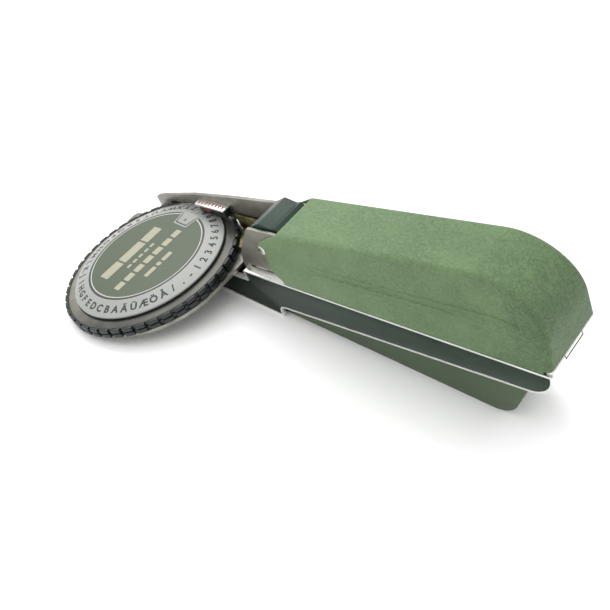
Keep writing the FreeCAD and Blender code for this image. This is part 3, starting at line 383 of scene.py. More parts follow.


def make_wrinkle_paint():
    """Light green wrinkle enamel: fine pebbles, coarser where it ran at the rear bend; painted shade
    in the hollows and on the rear face, and painted light at the front.
    """
    material, tree, shader, where = finish("green_wrinkle_enamel", Specular_IOR_Level=0.35)
    pebbles = add(tree, "TexNoise", {"Vector": where, "Scale": 1 / PEBBLE, "Detail": 3.0,
                                     "Roughness": 0.65, "Distortion": 0.8})
    folds = add(tree, "TexNoise", {"Vector": where, "Scale": 1 / FOLD, "Detail": 3.0,
                                   "Roughness": 0.6, "Distortion": 2.2})
    handle_x = add(tree, "SeparateXYZ", {0: where}).outputs["X"]
    rear = add(tree, "MapRange", {"Value": handle_x, "From Min": BEND_STARTS, "From Max": BEND_ENDS})
    height = add(tree, "Mix", {FACTOR: rear, FLOAT_A: pebbles, FLOAT_B: folds})
    patches = add(tree, "TexNoise", {"Vector": where, "Scale": 1 / 14.0, "Detail": 3.0})
    broad = add(tree, "ValToRGB", {"Fac": patches}, [(0.3, COVER_DARK), (0.7, COVER_LIGHT)])
    # painted shade: the pebbles are darker in their hollows
    fine = add(tree, "ValToRGB", {"Fac": height}, [(0.34, COVER_HOLLOW_SHADE), (0.6, COVER_LIGHT)])
    # painted light: paler towards the front of the top
    front_light = add(tree, "MapRange", {"Value": handle_x, "From Min": FRONT_LIGHT_STARTS, "From Max": FRONT_LIGHT_ENDS,
                                  "To Min": 0.45, "To Max": 0.0})
    front_lit = add(tree, "Mix", {FACTOR: front_light, COLOUR_A: broad, COLOUR_B: COVER_FRONT_LIGHT}, data_type="RGBA")
    # painted shade: darker on the rear face
    rear_shade = add(tree, "MapRange", {"Value": handle_x, "From Min": REAR_SHADE_STARTS,
                                    "From Max": REAR_SHADE_ENDS, "To Max": 0.6})
    deep = add(tree, "Mix", {FACTOR: rear_shade, COLOUR_A: front_lit, COLOUR_B: COVER_REAR_SHADE}, data_type="RGBA")
    tint = add(tree, "Mix", {FACTOR: 0.3, COLOUR_A: deep, COLOUR_B: fine}, data_type="RGBA")
    dull = add(tree, "MapRange", {"Value": height, "To Min": 0.42, "To Max": 0.6})
    bump = add(tree, "Bump", {"Height": height, "Distance": 0.8 * MM})
    connect(tree, shader, {"Base Color": tint, "Roughness": dull, "Normal": bump})
    return material


def make_enamel():
    """Mid green enamel on the lever, with a faint orange peel 1.4 mm across."""
    material, tree, shader, where = finish("mid_green_enamel", Coat_Weight=0.1, Coat_Roughness=0.2)
    peel = add(tree, "TexNoise", {"Vector": where, "Scale": 1 / 1.4, "Detail": 2.0})
    clouds = add(tree, "TexNoise", {"Vector": where, "Scale": 1 / 20.0, "Detail": 3.0})
    tint = add(tree, "ValToRGB", {"Fac": clouds}, [(0.3, "2a3f1f"), (0.7, "334927")])
    dull = add(tree, "MapRange", {"Value": peel, "To Min": 0.36, "To Max": 0.48})
    bump = add(tree, "Bump", {"Height": peel, "Distance": 0.02 * MM})
    connect(tree, shader, {"Base Color": tint, "Roughness": dull, "Normal": bump})
    return material


def make_panel_enamel():
    """Nearly black green satin enamel on the side panels, with painted shade: darkest under the dial,
    where its shadow falls.
    """
    material, tree, shader, where = finish("dark_green_satin_enamel", Specular_IOR_Level=0.15)
    peel = add(tree, "TexNoise", {"Vector": where, "Scale": 1 / 1.2, "Detail": 3.0})
    clouds = add(tree, "TexNoise", {"Vector": where, "Scale": 1 / 12.0, "Detail": 4.0})
    rear = add(tree, "ValToRGB", {"Fac": clouds}, [(0.3, "18291e"), (0.7, "223428")])
    # painted shade: nearly black at the front, under the dial's shadow
    front = add(tree, "ValToRGB", {"Fac": clouds}, [(0.3, "020a05"), (0.7, "05110a")])
    handle_x = add(tree, "SeparateXYZ", {0: where}).outputs["X"]
    back = add(tree, "MapRange", {"Value": handle_x, "From Min": PANEL_SHADE_FULL, "From Max": PANEL_SHADE_ENDS})
    tint = add(tree, "Mix", {FACTOR: back, COLOUR_A: front, COLOUR_B: rear}, data_type="RGBA")
    dull = add(tree, "MapRange", {"Value": peel, "To Min": 0.3, "To Max": 0.42})
    bump = add(tree, "Bump", {"Height": peel, "Distance": 0.012 * MM})
    connect(tree, shader, {"Base Color": tint, "Roughness": dull, "Normal": bump})
    return material


wrinkle_paint = make_wrinkle_paint()
enamel = make_enamel()
panel_enamel = make_panel_enamel()
print("paints:", wrinkle_paint.name, enamel.name, panel_enamel.name)

# %% [markdown]
# ## Plastics
# Moulded ABS takes the texture of its mould: a fine matt grain with a few bright rub marks. The grey
# ring has a metallic lacquer, with painted light and shade: a mix along the handle's axis, which
# needs no image, makes it paler at the front, where it is lit, and darker towards the handle.

# %% Moulded plastics
RING_LIT_X, RING_SHADED_X = -38, 8      # painted light: the grey ring is palest at its front, away from the handle, and shaded towards it


def make_black_abs():
    """Black moulded ABS: fine mould grain and small pale rub marks."""
    material, tree, shader, where = finish("black_moulded_abs")
    grain = add(tree, "TexNoise", {"Vector": where, "Scale": 1 / 0.35, "Detail": 3.0})
    rubs = add(tree, "TexNoise", {"Vector": where, "Scale": 1 / 0.7, "Detail": 4.0,
                                  "Roughness": 0.7})
    tint = add(tree, "ValToRGB", {"Fac": rubs}, [(0.0, "0a0e0f"), (0.6, "101718"), (0.75, "4f5655")])
    dull = add(tree, "MapRange", {"Value": grain, "To Min": 0.3, "To Max": 0.5})
    bump = add(tree, "Bump", {"Height": grain, "Distance": 0.03 * MM})
    connect(tree, shader, {"Base Color": tint, "Roughness": dull, "Normal": bump})
    return material


def make_grey_abs():
    """Warm grey ring with a metallic lacquer, with painted light: paler at the front, where it is lit,
    and painted shade towards the handle.
    """
    material, tree, shader, where = finish("warm_grey_abs", Metallic=0.55)
    grain = add(tree, "TexNoise", {"Vector": where, "Scale": 1 / 0.5, "Detail": 3.0})
    clouds = add(tree, "TexNoise", {"Vector": where, "Scale": 1 / 6.0, "Detail": 4.0})
    # painted shade: darker towards the handle
    deep = add(tree, "ValToRGB", {"Fac": clouds}, [(0.3, "484843"), (0.7, "595952")])
    # painted light: paler at the front, where the ring is lit
    lit_front = add(tree, "ValToRGB", {"Fac": clouds}, [(0.3, "8b897c"), (0.7, "a19f92")])
    handle_x = add(tree, "SeparateXYZ", {0: where}).outputs["X"]
    back = add(tree, "MapRange", {"Value": handle_x, "From Min": RING_LIT_X, "From Max": RING_SHADED_X})
    tint = add(tree, "Mix", {FACTOR: back, COLOUR_A: lit_front, COLOUR_B: deep}, data_type="RGBA")
    dull = add(tree, "MapRange", {"Value": grain, "To Min": 0.28, "To Max": 0.4})
    bump = add(tree, "Bump", {"Height": grain, "Distance": 0.008 * MM})
    connect(tree, shader, {"Base Color": tint, "Roughness": dull, "Normal": bump})
    return material


def make_bar_plastic():
    """Dark green glossy moulding of the release bar, with fine lines along it from its mould."""
    material, tree, shader, where = finish("dark_green_moulding", Specular_IOR_Level=0.3)
    drawn = add(tree, "Mapping", {"Vector": where, "Scale": (1, 0.04, 1)})
    lines = add(tree, "TexNoise", {"Vector": drawn, "Scale": 1 / 0.5, "Detail": 2.0})
    tint = add(tree, "ValToRGB", {"Fac": lines}, [(0.3, "0f231a"), (0.7, "1b3529")])
    dull = add(tree, "MapRange", {"Value": lines, "To Min": 0.32, "To Max": 0.48})
    bump = add(tree, "Bump", {"Height": lines, "Distance": 0.02 * MM})
    connect(tree, shader, {"Base Color": tint, "Roughness": dull, "Normal": bump})
    return material


def make_rubber():
    """Moulded rubber of the feed roller: matt, with a faint bloom."""
    material, tree, shader, where = finish("moulded_rubber")
    bloom = add(tree, "TexNoise", {"Vector": where, "Scale": 1 / 1.0, "Detail": 4.0})
    tint = add(tree, "ValToRGB", {"Fac": bloom}, [(0.3, "1b1b1b"), (0.8, "2e2e2d")])
    dull = add(tree, "MapRange", {"Value": bloom, "To Min": 0.65, "To Max": 0.85})
    connect(tree, shader, {"Base Color": tint, "Roughness": dull})
    return material


black_abs = make_black_abs()
grey_abs = make_grey_abs()
bar_plastic = make_bar_plastic()
rubber = make_rubber()
print("plastics:", black_abs.name, grey_abs.name, bar_plastic.name, rubber.name)

# %% [markdown]
# ## Printed sheet, tape and inks
# The dial's face is a printed sheet and the tape is wound turn on turn, so both change only with the
# distance from an axis. Rings could be cut into the mesh, but the shader measures the distance with
# one Length node, which draws a clean circle at any size. Inks are one colour, worn slightly thin.

# %% Printed sheet, tape and inks
RING_IN, RING_MID, RING_OUT = 24.9, 25.4, 26.4   # white line, then black line, round the green disc
TAPE_T = 0.25                                    # one turn of wound tape


def make_printed_sheet():
    """Pale speckled sheet with a green disc and two thin lines round it."""
    material, tree, shader, where = finish("printed_dial_sheet", Coat_Weight=0.2, Coat_Roughness=0.3)
    flat = add(tree, "VectorMath", {0: where, 1: (1, 1, 0)}, operation="MULTIPLY")
    reach = add(tree, "VectorMath", {0: flat}, operation="LENGTH")
    speckle = add(tree, "TexNoise", {"Vector": where, "Scale": 1 / 0.3, "Detail": 3.0,
                                     "Roughness": 0.7})
    mottle = add(tree, "TexNoise", {"Vector": where, "Scale": 1 / 0.8, "Detail": 5.0,
                                    "Roughness": 0.7})
    pale = add(tree, "ValToRGB", {"Fac": speckle}, [(0.3, "82837f"), (0.55, "929490")])
    layer = add(tree, "ValToRGB", {"Fac": mottle}, [(0.3, "303e25"), (0.7, "3b4a2f")])
    for radius, ink in ((RING_IN, "a9aaa2"), (RING_MID, "1c1e1c"), (RING_OUT, pale)):
        past = add(tree, "Math", {0: reach, 1: radius}, operation="GREATER_THAN")
        layer = add(tree, "Mix", {FACTOR: past, COLOUR_A: layer, COLOUR_B: ink}, data_type="RGBA")
    dull = add(tree, "MapRange", {"Value": speckle, "To Min": 0.34, "To Max": 0.5})
    bump = add(tree, "Bump", {"Height": speckle, "Distance": 0.006 * MM})
    connect(tree, shader, {"Base Color": layer, "Roughness": dull, "Normal": bump})
    return material


def make_tape_vinyl():
    """Wound green vinyl tape: glossy edges, a dark line between each two turns."""
    material, tree, shader, where = finish("green_vinyl_tape", Roughness=0.3, Coat_Weight=0.3,
                                           Coat_Roughness=0.15)
    low, high = span("tape_roll")
    about = add(tree, "VectorMath", {0: where, 1: (low + high) / 2}, operation="SUBTRACT")
    flat = add(tree, "VectorMath", {0: about, 1: (1, 0, 1)}, operation="MULTIPLY")
    reach = add(tree, "VectorMath", {0: flat}, operation="LENGTH")
    turns = add(tree, "Math", {0: reach, 1: 1 / TAPE_T}, operation="MULTIPLY")
    wave = add(tree, "Math", {0: turns}, operation="FRACT")
    tint = add(tree, "ValToRGB", {"Fac": wave}, [(0.0, "0c2c18"), (0.3, "1c5c36"), (1.0, "1f663c")])
    connect(tree, shader, {"Base Color": tint})
    return material


def make_ink(name, dark, light):
    """Screen ink: one colour that wears slightly thin in places 0.6 mm across."""
    material, tree, shader, where = finish(name)
    wear = add(tree, "TexNoise", {"Vector": where, "Scale": 1 / 0.6, "Detail": 4.0,
                                  "Roughness": 0.7})
    tint = add(tree, "ValToRGB", {"Fac": wear}, [(0.35, dark), (0.7, light)])
    dull = add(tree, "MapRange", {"Value": wear, "To Min": 0.37, "To Max": 0.53})
    connect(tree, shader, {"Base Color": tint, "Roughness": dull})
    return material


printed_sheet = make_printed_sheet()
tape_vinyl = make_tape_vinyl()
black_ink = make_ink("black_screen_ink", "151716", "232524")
cream_ink = make_ink("cream_screen_ink", "92907b", "a09e89")
white_ink = make_ink("white_screen_ink", "929390", "9d9e98")
pale_ink = make_ink("pale_screen_ink", "858682", "929490")
red_ink = make_ink("red_screen_ink", "7c2f2a", "93403a")
BY_SLOT = {"plate_steel": satin_nickel, "bright_steel": bright_nickel, "dark_paint": panel_enamel,
           "black_plastic": black_abs, "brass": brass, "printed_plastic": printed_sheet,
           "grey_plastic": grey_abs, "lever_paint": enamel, "cover_paint": wrinkle_paint,
           "dark_plastic": bar_plastic, "rubber": rubber, "tape_vinyl": tape_vinyl}
print("finishes for", len(BY_SLOT), "slots")

# %% [markdown]
# ## The dial's face
# The face is a thin sheet: a flat disc with a shallow cone round it that tips the letters towards the
# reader. It could be turned from an outline, but an inset keeps the band's width and its drop as two
# plain numbers. A cylinder gives the edge, its top face is inset by the width of the letter band and
# raised, which makes the cone, and the crease between them is softened with a bevel.

# %% Dial face
LETTER_BAND = 7.8
CONE_DROP = 2.2
DISC_R = LETTER_R - LETTER_BAND
AROUND = 180            # sides of the round pieces, fine enough to look smooth close up
EDGE_T = 0.75           # of the sheet's rim, which stands over a dark gap
FACE_UNDER = -CONE_DROP - EDGE_T
CREASE = 0.5            # half the width of the soft crease where the cone starts

bpy.ops.mesh.primitive_cylinder_add(vertices=AROUND, radius=LETTER_R, depth=EDGE_T,
                                    location=(0, 0, FACE_UNDER + EDGE_T / 2))
plate = bpy.context.object
fix_place(plate)
open_mesh(plate)
pick(lambda f: f.normal.z > 0.9)
bpy.ops.mesh.inset(thickness=LETTER_BAND)
bpy.ops.transform.translate(value=(0, 0, CONE_DROP))
bpy.ops.mesh.select_mode(type="EDGE")
pick(lambda e: all(abs(v.co.z) < 0.01 for v in e.verts), "edges")
bpy.ops.mesh.bevel(offset=CREASE, segments=3, affect="EDGES")
close_mesh()
round_edges(plate, 0.22, segments=3, angle=40)
place(plate, "dial_plate", "dial_face", printed_sheet, ["dial_face"], smooth=25)

# %% [markdown]
# ## Outlines and turned rings
# The grey ring and the two wheels are bodies of revolution. Stacked cylinders would leave hidden
# faces between them, so each is one closed outline, which the Spin operator sweeps once round the
# axis. The outline is drawn as by hand: a vertex is extruded from corner to corner and the ends are
# joined. Spin leaves a double seam, so doubles are merged and the normals are turned outwards.

# %% Outlines and the lathe


def draw(corners):
    """Draws a closed wire through the corners, and leaves it selected in edit mode."""
    bpy.ops.mesh.primitive_plane_add(size=1, location=corners[0])
    drawn = bpy.context.object
    fix_place(drawn)
    open_mesh(drawn, "VERT")
    bpy.ops.mesh.select_all(action="SELECT")
    bpy.ops.mesh.merge(type="CENTER")
    for here, there in zip(corners, corners[1:]):
        step = Vector(there) - Vector(here)
        bpy.ops.mesh.extrude_region_move(TRANSFORM_OT_translate={"value": step})
    pick(lambda v: len(v.link_edges) == 1, "verts")
    bpy.ops.mesh.edge_face_add()
    bpy.ops.mesh.select_all(action="SELECT")
    return drawn


def face_outwards():
    """Turns every normal of the open mesh outwards, and closes it."""
    bpy.ops.mesh.select_all(action="SELECT")
    bpy.ops.mesh.normals_make_consistent(inside=False)
    close_mesh()


def lathe(outline, rounding):
    """Spins a closed outline of (radius, height) corners about the dial's axis."""
    turned = draw([(radius, 0, height) for radius, height in outline])
    bpy.ops.mesh.spin(steps=AROUND, angle=math.tau, center=(0, 0, 0), axis=(0, 0, 1))
    bpy.ops.mesh.select_all(action="SELECT")
    bpy.ops.mesh.remove_doubles(threshold=0.001)
    face_outwards()
    round_edges(turned, rounding, segments=3, angle=25)
    return turned


ring_low, ring_high = span("bevel_ring")
RING_BORE = LETTER_R + 0.2      # a fine gap round the lettered sheet
RING_R = ring_high.x
RING_TOP = ring_high.z - 0.7
RING_FLAT = 0.8                 # width of the level land inside the sloping part
RING_FALL = 0.4
ring = lathe([(RING_BORE, RING_TOP), (RING_BORE + RING_FLAT, RING_TOP), (RING_R, RING_TOP - RING_FALL),
              (RING_R, ring_low.z), (RING_BORE, ring_low.z)], 0.15)
place(ring, "grey_finger_ring", "bevel_ring", grey_abs, ["bevel_ring"], smooth=25)

# %% [markdown]
# ## Knurled wheels
# Each wheel has one tooth for each of its 45 places. The rim could be cut by 45 slots, but adding
# teeth to a turned core is cleaner and needs no boolean. One tooth is drawn in plan with its outer
# face on the rim's arc, extruded, rounded and then copied round the axis by Spin with its duplicate
# option, so every tooth is alike.

# %% Wheels with 45 teeth
PLACES = 45
PITCH = math.tau / PLACES
SLOT_WIDTH = 1.5
SLOT_DEPTH = 1.0
TOOTH_ROOT = 0.6        # how far a tooth runs into the core
RING_STEP = 0.7         # the die wheel's top stands this far up the side of the ring
SEAT_IN = 0.5           # the sheet overhangs its seat on the die wheel by this much
SEAT_DROP = 0.3         # the seat's lip is this far under the ring's top


def thin_plate(corners, low, high):
    """Plate with a plan outline, between two heights."""
    sheet = draw([(x, y, low) for x, y in corners])
    bpy.ops.mesh.edge_face_add()
    bpy.ops.mesh.extrude_region_move(TRANSFORM_OT_translate={"value": (0, 0, high - low)})
    face_outwards()
    return sheet


def knurled_wheel(outline, rim, low, high):
    """Turned core with a ring of teeth between two heights."""
    core = lathe(outline, 0.1)
    half = (PITCH * rim - SLOT_WIDTH) / 2
    root = rim - SLOT_DEPTH - TOOTH_ROOT
    arc = [(math.sqrt(rim ** 2 - y ** 2), y) for y in (-half, -half / 3, half / 3, half)]
    tooth = thin_plate([(root, -half), *arc, (root, half)], low, high)
    round_edges(tooth, 0.2, segments=2, angle=50)
    tooth.data.transform(Matrix.Rotation(INDEX, 4, "Z"))
    open_mesh(tooth, "VERT")
    bpy.ops.mesh.select_all(action="SELECT")
    bpy.ops.mesh.spin(steps=PLACES - 1, dupli=True, angle=math.tau - PITCH, center=(0, 0, 0),
                      axis=(0, 0, 1))
    close_mesh()
    return join([core, tooth])


BORE = span("dial_axle")[1].x - 1.95        # clear of the axle's shank, under its head
die_low, die_high = span("upper_wheel")
anvil_low, anvil_high = span("punch_wheel")
die_top = ring_low.z + RING_STEP
die_core, anvil_core = die_high.x - SLOT_DEPTH, anvil_high.x - SLOT_DEPTH
die_outline = [(BORE, FACE_UNDER), (LETTER_R - SEAT_IN, FACE_UNDER),
               (LETTER_R - SEAT_IN, RING_TOP - SEAT_DROP), (RING_BORE, RING_TOP - SEAT_DROP),
               (RING_BORE, ring_low.z), (RING_R, ring_low.z), (RING_R, die_top),
               (die_core, die_top), (die_core, die_low.z), (BORE, die_low.z)]
anvil_outline = [(BORE, anvil_high.z), (anvil_core, anvil_high.z), (anvil_core, anvil_low.z),
                 (BORE, anvil_low.z)]
place(knurled_wheel(die_outline, die_high.x, die_low.z, die_top), "die_wheel", "upper_wheel",
      black_abs, ["upper_wheel"])
place(knurled_wheel(anvil_outline, anvil_high.x, anvil_low.z, anvil_high.z), "anvil_wheel",
      "punch_wheel", black_abs, ["punch_wheel"])

# %% [markdown]
# ## Print on the dial
# The characters run clockwise from the cut mark: figures, signs, accented capitals, then A to Z,
# with their tops towards the axis. An image would carry them too, but text made into a thin mesh
# stays sharp close up. Each sign is laid on the cone by one matrix.

# %% Characters round the dial
CUT = math.radians(86)      # direction of the cut mark with the tool at rest
CHARACTERS = "0987654321-./ÅÖÆÜÄABCDEFGHIJKLMNOPQRSTUVWXYZ"
LETTER_MIDDLE = 30.6
LETTER_SIZE = 4.3
LETTER_WEIGHT = 0.14        # extra stroke width
INK_T = 0.03
CONE_ANGLE = math.atan2(CONE_DROP, LETTER_BAND)


def on_cone(angle, radius):
    """Matrix that stands a flat print on the cone, its top towards the axis."""
    height = -CONE_DROP * (radius - DISC_R) / LETTER_BAND
    at = Vector((radius * math.cos(angle), radius * math.sin(angle), height))
    turn = Matrix.Rotation(angle + math.pi / 2, 4, "Z")
    return Matrix.Translation(at) @ turn @ Matrix.Rotation(CONE_ANGLE, 4, "X")


def character(sign, angle):
    """One printed character as a thin mesh on the cone."""
    bpy.ops.object.text_add()
    text = only(bpy.context.object)
    text.data.body = sign
    text.data.size = LETTER_SIZE
    text.data.align_x = "CENTER"
    text.data.align_y = "CENTER"
    text.data.offset = LETTER_WEIGHT
    text.data.extrude = INK_T
    text.data.resolution_u = 3
    bpy.ops.object.convert(target="MESH")
    text = bpy.context.object
    text.data.transform(on_cone(angle, LETTER_MIDDLE))
    return text


signs = [character(sign, CUT - (i + 1) * PITCH) for i, sign in enumerate(CHARACTERS)]
place(join(signs), "dial_characters", "dial_face", black_ink)

# %% [markdown]
# ## The cut mark
# The cut mark is a pale tab that steps into the green disc, outlined like the disc itself. A border
# could be a second ring of faces, but three thin plates of the same outline, each a little smaller
# and higher than the last, draw the white line, the black line and the pale middle more simply.

# %% Tab of the cut mark
TAB_IN, TAB_SHOULDER, TAB_FOOT = 20.1, 23.9, RING_IN + 0.3      # distances from the axis
TAB_TIP_HALF, TAB_SHOULDER_HALF, TAB_FOOT_HALF = 3.4, 4.3, 5.2  # half widths there


def tab(grow, level):
    """Tab outline grown outwards, with its outer end under the ring lines."""
    side = [(TAB_IN - grow, TAB_TIP_HALF + grow), (TAB_SHOULDER, TAB_SHOULDER_HALF + grow),
            (TAB_FOOT, TAB_FOOT_HALF + grow), (RING_OUT, TAB_FOOT_HALF)]
    sheet = thin_plate([(x, -y) for x, y in side] + side[::-1], 0.0, level)
    sheet.data.transform(Matrix.Rotation(CUT, 4, "Z"))
    return sheet


place(tab(grow=1.2, level=0.02), "cut_mark_white_line", "dial_face", white_ink)
place(tab(grow=0.6, level=0.035), "cut_mark_black_line", "dial_face", black_ink)
place(tab(grow=0.0, level=0.05), "cut_mark_tab", "dial_face", pale_ink)

# %% [markdown]
# ## Bars in the middle
# The middle of the dial has plain cream bars in place of printed words. A row could be one long
# plate, but separate bars with rounded corners read as words from afar. Bars of one length are made
# once and copied by the Array modifier.

# %% Bars in the middle of the dial


def strip(x_low, x_high, y_low, y_high, level=INK_T, corner=0.35):
    """Printed bar with rounded corners, flat on the disc."""
    sheet = thin_plate([(x_low, y_low), (x_high, y_low), (x_high, y_high), (x_low, y_high)],
                       0.0, level)
    open_mesh(sheet, "EDGE")
    pick(lambda e: abs(e.verts[0].co.z - e.verts[1].co.z) > 0.5 * level, "edges")
    bpy.ops.mesh.bevel(offset=corner, segments=3, affect="EDGES")
    close_mesh()
    return sheet


def word(x, height, y, gap, runs):
    """Row of bars about x, from y on: each run is a length and how many bars have it."""
    row = []
    for length, count in runs:
        bar = strip(x - height / 2, x + height / 2, y, y + length)
        repeat(bar, count, (0, length + gap, 0))
        row.append(bar)
        y += count * (length + gap)
    return row


bars = word(x=-8.2, height=5.2, y=-18.0, gap=0.9, runs=[(9.5, 1), (12.0, 1), (8.8, 1)])
bars += word(x=-1.6, height=1.5, y=-9.5, gap=1.1, runs=[(2.2, 5)])
bars += word(x=4.4, height=3.4, y=-20.5, gap=1.1, runs=[(4.3, 7)])
bars += word(x=11.9, height=2.4, y=-10.0, gap=1.1, runs=[(5.6, 1), (2.0, 1), (5.0, 1)])
place(join(bars), "dial_centre_bars", "dial_face", cream_ink)

# %% [markdown]
# ## Lines and arrow of the cut mark
# Two fine lines cross the letter band either side of the cut, and a small arrow points out between
# them. The lines could be drawn in the shader like the rings, but as thin plates they need no mask.
# One is made flat, copied, and stood on the cone by the same matrix as a letter.

# %% Lines and arrow
LINE_IN, LINE_OUT = RING_OUT + 0.4, LETTER_R - 0.6
LINE_APART = 3.0
LINE_HALF = 0.1
ARROW_TAIL, ARROW_NOTCH, ARROW_TIP, ARROW_HALF = 21.4, 21.9, 23.4, 0.9

line_half_length = (LINE_OUT - LINE_IN) / 2 / math.cos(CONE_ANGLE)
line_x = -LINE_APART / 2
lines = thin_plate([(line_x - LINE_HALF, -line_half_length), (line_x + LINE_HALF, -line_half_length),
                    (line_x + LINE_HALF, line_half_length), (line_x - LINE_HALF, line_half_length)],
                   0.0, 0.04)
repeat(lines, 2, (LINE_APART, 0, 0))
lines.data.transform(on_cone(CUT, (LINE_IN + LINE_OUT) / 2))
arrow = thin_plate([(ARROW_TAIL, -ARROW_HALF), (ARROW_TIP, 0.0), (ARROW_TAIL, ARROW_HALF),
                    (ARROW_NOTCH, 0.0)], 0.0, 0.065)
arrow.data.transform(Matrix.Rotation(CUT, 4, "Z"))
place(join([lines, arrow]), "cut_mark_arrow", "dial_face", black_ink)

# %% [markdown]
# ## Dressing the metalwork
# A folded sheet never has a perfectly sharp edge: the press leaves a small round that catches a
# line of light. A bevel in the shader would fake that light, but real geometry also shows in the
# outline. The CAD solids are exact but sharp, so a copy of each is merged into clean flat faces and
# its edges are rounded with a Bevel modifier. The copy then stands in for the CAD node.

# %% Copies with rounded edges
ROUNDED = (                             # CAD node, name of its dressed copy, edge round in mm
    ("frame_plate", "frame_sheet", 0.18), ("chassis", "handle_channel", 0.22),
    ("side_panel_near", "near_panel", 0.12), ("side_panel_far", "far_panel", 0.12),
    ("index_bracket", "index_anvil", 0.3), ("index_tag", "index_plate", 0.18),
    ("tape_guide", "tape_channel", 0.1), ("lever", "squeeze_lever", 0.25),
    ("cover_studs", "ear_studs", 0.15), ("frame_rivets", "side_rivets", 0.15),
    ("tray_rivets", "magazine_rivets", 0.15), ("magazine_tray", "magazine", 0.12),
    ("bar_bridge", "bar_support", 0.12), ("chassis_hinge", "lower_knuckles", 0.15),
    ("cover_hinge", "upper_knuckle", 0.15), ("hinge_pin", "knuckle_pin", 0.1),
    ("plunger", "press_plunger", 0.15), ("striker_pad", "striker", 0.15),
    ("spool_core", "tape_core", 0.2), ("tape_roll", "wound_tape", 0.15),
    ("feed_roller", "rubber_roller", 0.15), ("release_bar", "cover_release", 0.3))


def bench_copy(node):
    """Clean bench copy of a CAD node, with its triangles merged into flat faces."""
    only(frame["nodes"][node])
    bpy.ops.object.duplicate()
    copy = only(bpy.context.object)
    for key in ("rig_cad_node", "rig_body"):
        del copy[key]
    copy.parent = None
    copy.data.transform(TO_BENCH)
    bpy.ops.mesh.customdata_custom_splitnormals_clear()
    open_mesh(copy, "VERT")
    bpy.ops.mesh.select_all(action="SELECT")
    bpy.ops.mesh.remove_doubles(threshold=0.002)
    bpy.ops.mesh.dissolve_limited(angle_limit=math.radians(0.5))
    close_mesh()
    return copy


def dress(node, name, width, extra=()):
    """Stands a rounded copy in for a CAD node."""
    copy = bench_copy(node)
    round_edges(copy, width)
    place(join([copy, *extra]), name, node, BY_SLOT[slot_of[node]], [node])


for node, name, width in ROUNDED:
    dress(node, name, width)

# %% [markdown]
# ## The cover
# The cover is a deep-drawn steel shell. Its edge round comes from the CAD solid, and the shallow
# double bead pressed into each side is added here. Pressing it into the mesh would need a fine grid
# all over the side, so two curves are laid along the side instead, given a round section and sunk
# until only a low ridge stands out. The far side's beads are a mirror copy.

# %% Cover with its pressed beads
cover_low, cover_high = span("cover")
cover_middle = (cover_low.y + cover_high.y) / 2
LEAN_IN, LEAN_OVER = 2.8, 30.2          # each side leans in this far over this height
UPPER_BEAD = [(76, 7.7), (93, 8.3), (110, 9.0), (128, 9.8), (146, 10.8), (158, 11.4), (163.3, 11.3),
              (166.0, 10.5), (166.6, 9.2)]
LOWER_BEAD = [(75, 4.9), (92, 5.7), (110, 6.4), (128, 7.3), (142, 7.9), (152, 8.1)]
BEAD_R = 0.8
BEAD_END = 0.45         # the ridge narrows to this share of its size at its ends
BEAD_SHOWS = 0.42       # how far a bead stands out of the side


def bead(route):
    """Low round ridge along the near side of the cover, and its mirror copy on the far side."""
    bpy.ops.curve.primitive_nurbs_path_add()
    ridge = only(bpy.context.object)
    ridge.data.bevel_depth = BEAD_R
    ridge.data.bevel_resolution = 3
    ridge.data.use_fill_caps = True
    spline = ridge.data.splines[0]
    spline.points.add(len(route) - len(spline.points))
    for point, (x, z) in zip(spline.points, route):
        lean = LEAN_IN / LEAN_OVER * (z - cover_low.z)
        point.co = (x, cover_low.y - cover_middle + lean + BEAD_R - BEAD_SHOWS, z, 1)
    spline.points[0].radius = spline.points[-1].radius = BEAD_END
    spline.order_u = 3
    spline.use_endpoint_u = True
    bpy.ops.object.convert(target="MESH")
    ridge = bpy.context.object
    apply_modifier(ridge, "MIRROR", use_axis=(False, True, False))
    ridge.data.transform(Matrix.Translation((0, cover_middle, 0)))
    return ridge


dress("cover", "cover_shell", 0.2, extra=[bead(UPPER_BEAD), bead(LOWER_BEAD)])

# %% [markdown]
# ## Marks on the index plate
# The bright plate over the anvil carries a row of small red dashes. A red pointer on the near face
# of the anvil's bracket shows which character is in use. Paint in the shader would need a mask for
# each mark, so they are thin printed bars like those of the dial.

# %% Index marks
tag_low, tag_high = span("index_tag")
DASHES = 8
DASH_WIDTH = 0.9
DASH_FROM, DASH_TO = 1.0, 2.6           # from the plate's near edge
DASH_MARGIN = 2.2                       # from the plate's end to the middle of the first dash
POINTER_FROM, POINTER_TO = 3.6, 7.2     # from the bracket's front end
POINTER_LOW, POINTER_HIGH = 0.8, 2.1    # above the dial's flat top
dash_step = (tag_high.x - tag_low.x - 2 * DASH_MARGIN) / (DASHES - 1)
dash_x = tag_low.x + DASH_MARGIN
dashes = strip(dash_x - DASH_WIDTH / 2, dash_x + DASH_WIDTH / 2, tag_low.y + DASH_FROM,
               tag_low.y + DASH_TO, corner=0.1)
repeat(dashes, DASHES, (dash_step, 0, 0))
dashes.data.transform(Matrix.Translation((0, 0, tag_high.z)))
place(dashes, "index_plate_dashes", "index_tag", red_ink)

bracket_low = span("index_bracket")[0]
pointer = strip(bracket_low.x + POINTER_FROM, bracket_low.x + POINTER_TO, POINTER_LOW, POINTER_HIGH,
                level=0.15, corner=0.12)
on_near_face = Matrix.Translation((0, bracket_low.y, 0)) @ Matrix.Rotation(math.pi / 2, 4, "X")
pointer.data.transform(on_near_face)
place(pointer, "index_pointer", "index_bracket", red_ink)

# %% [markdown]
# ## Finishes for the carried-over nodes
# The springs, pins and small inner works could be dressed like the rest, but hardly any of them
# shows. They are already right as solids, so they stay and only take a finish by their slot.

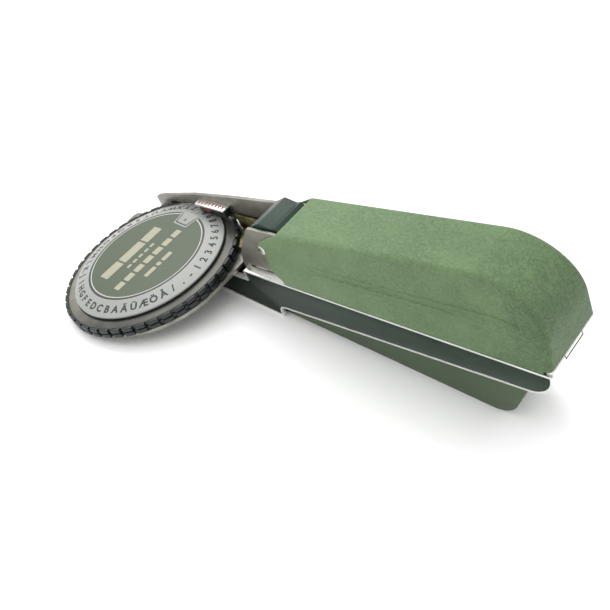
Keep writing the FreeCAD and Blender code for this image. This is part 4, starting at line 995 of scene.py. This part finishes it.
# %% Remaining nodes
kept = 0
for name, node in frame["nodes"].items():
    if node.hide_render:
        continue
    look = spring_steel if "spring" in name or "pin" in name else BY_SLOT[slot_of[name]]
    node.data.materials.clear()
    node.data.materials.append(look)
    kept += 1
print("carried over:", kept, "nodes")

# %% [markdown]
# ## Floor, light and camera
# The tool lies on white seamless paper under soft light. A sky image could light it, but it would
# show in the nickel, so the sky is plain white, with one large soft box overhead and a weak one at
# the side. The camera looks down on the handle's rear corner.

# %% Studio


def make_paper():
    """Matt white paper with a faint fibre."""
    material, tree, shader, where = finish("white_seamless_paper", Roughness=0.85)
    fibre = add(tree, "TexNoise", {"Vector": where, "Scale": 1 / 4.0, "Detail": 3.0})
    tint = add(tree, "ValToRGB", {"Fac": fibre}, [(0.0, "f4f4f4"), (1.0, "f8f8f8")])
    connect(tree, shader, {"Base Color": tint})
    return material


bpy.ops.mesh.primitive_plane_add(size=4.0)
floor = bpy.context.object
floor.name = "paper"
floor.data.materials.append(make_paper())
floor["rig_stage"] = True

world = bpy.data.worlds.new("studio")
bpy.context.scene.world = world
world.use_nodes = True
world.node_tree.nodes["Background"].inputs["Color"].default_value = colour("ffffff")
world.node_tree.nodes["Background"].inputs["Strength"].default_value = 1.0
AIM = Vector((0, 0, 0.03))      # the middle of the tool, half its height above the floor


def soft_box(name, position, size, power):
    """Square area light that faces the tool."""
    light = bpy.data.lights.new(name, "AREA")
    light.size = size
    light.energy = power
    lamp = bpy.data.objects.new(name, light)
    lamp.location = position
    lamp.rotation_euler = (Vector(position) - AIM).to_track_quat("Z", "Y").to_euler()
    bpy.context.scene.collection.objects.link(lamp)


soft_box("key", (-0.6, 0.3, 0.8), size=0.8, power=3.5)
soft_box("overhead", (0.0, 0.05, 1.3), size=2.2, power=15.0)

camera_data = bpy.data.cameras.new("camera")
camera_data.lens = 44.345
camera_data.sensor_width = 36.0
camera = bpy.data.objects.new("camera", camera_data)
camera.location = (0.17419, -0.12407, 0.18308)
camera.rotation_euler = [math.radians(a) for a in (50.836, 8.872, 42.767)]
bpy.context.scene.collection.objects.link(camera)
bpy.context.scene.camera = camera
bpy.context.scene.view_settings.view_transform = "Standard"
print("camera", tuple(round(v, 3) for v in camera.location))

# %% [markdown]
# The looks should leave the tool's size as it is. A render could hide a small change, so the box of
# the
# CAD model and the box of the finished one are measured, and the change in size is printed.

# %% Compare sizes and finish
look_low, look_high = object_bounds()
growth = (look_high - look_low) - (cad_high - cad_low)
print("size change, mm:", [round(value / MM, 2) for value in growth])
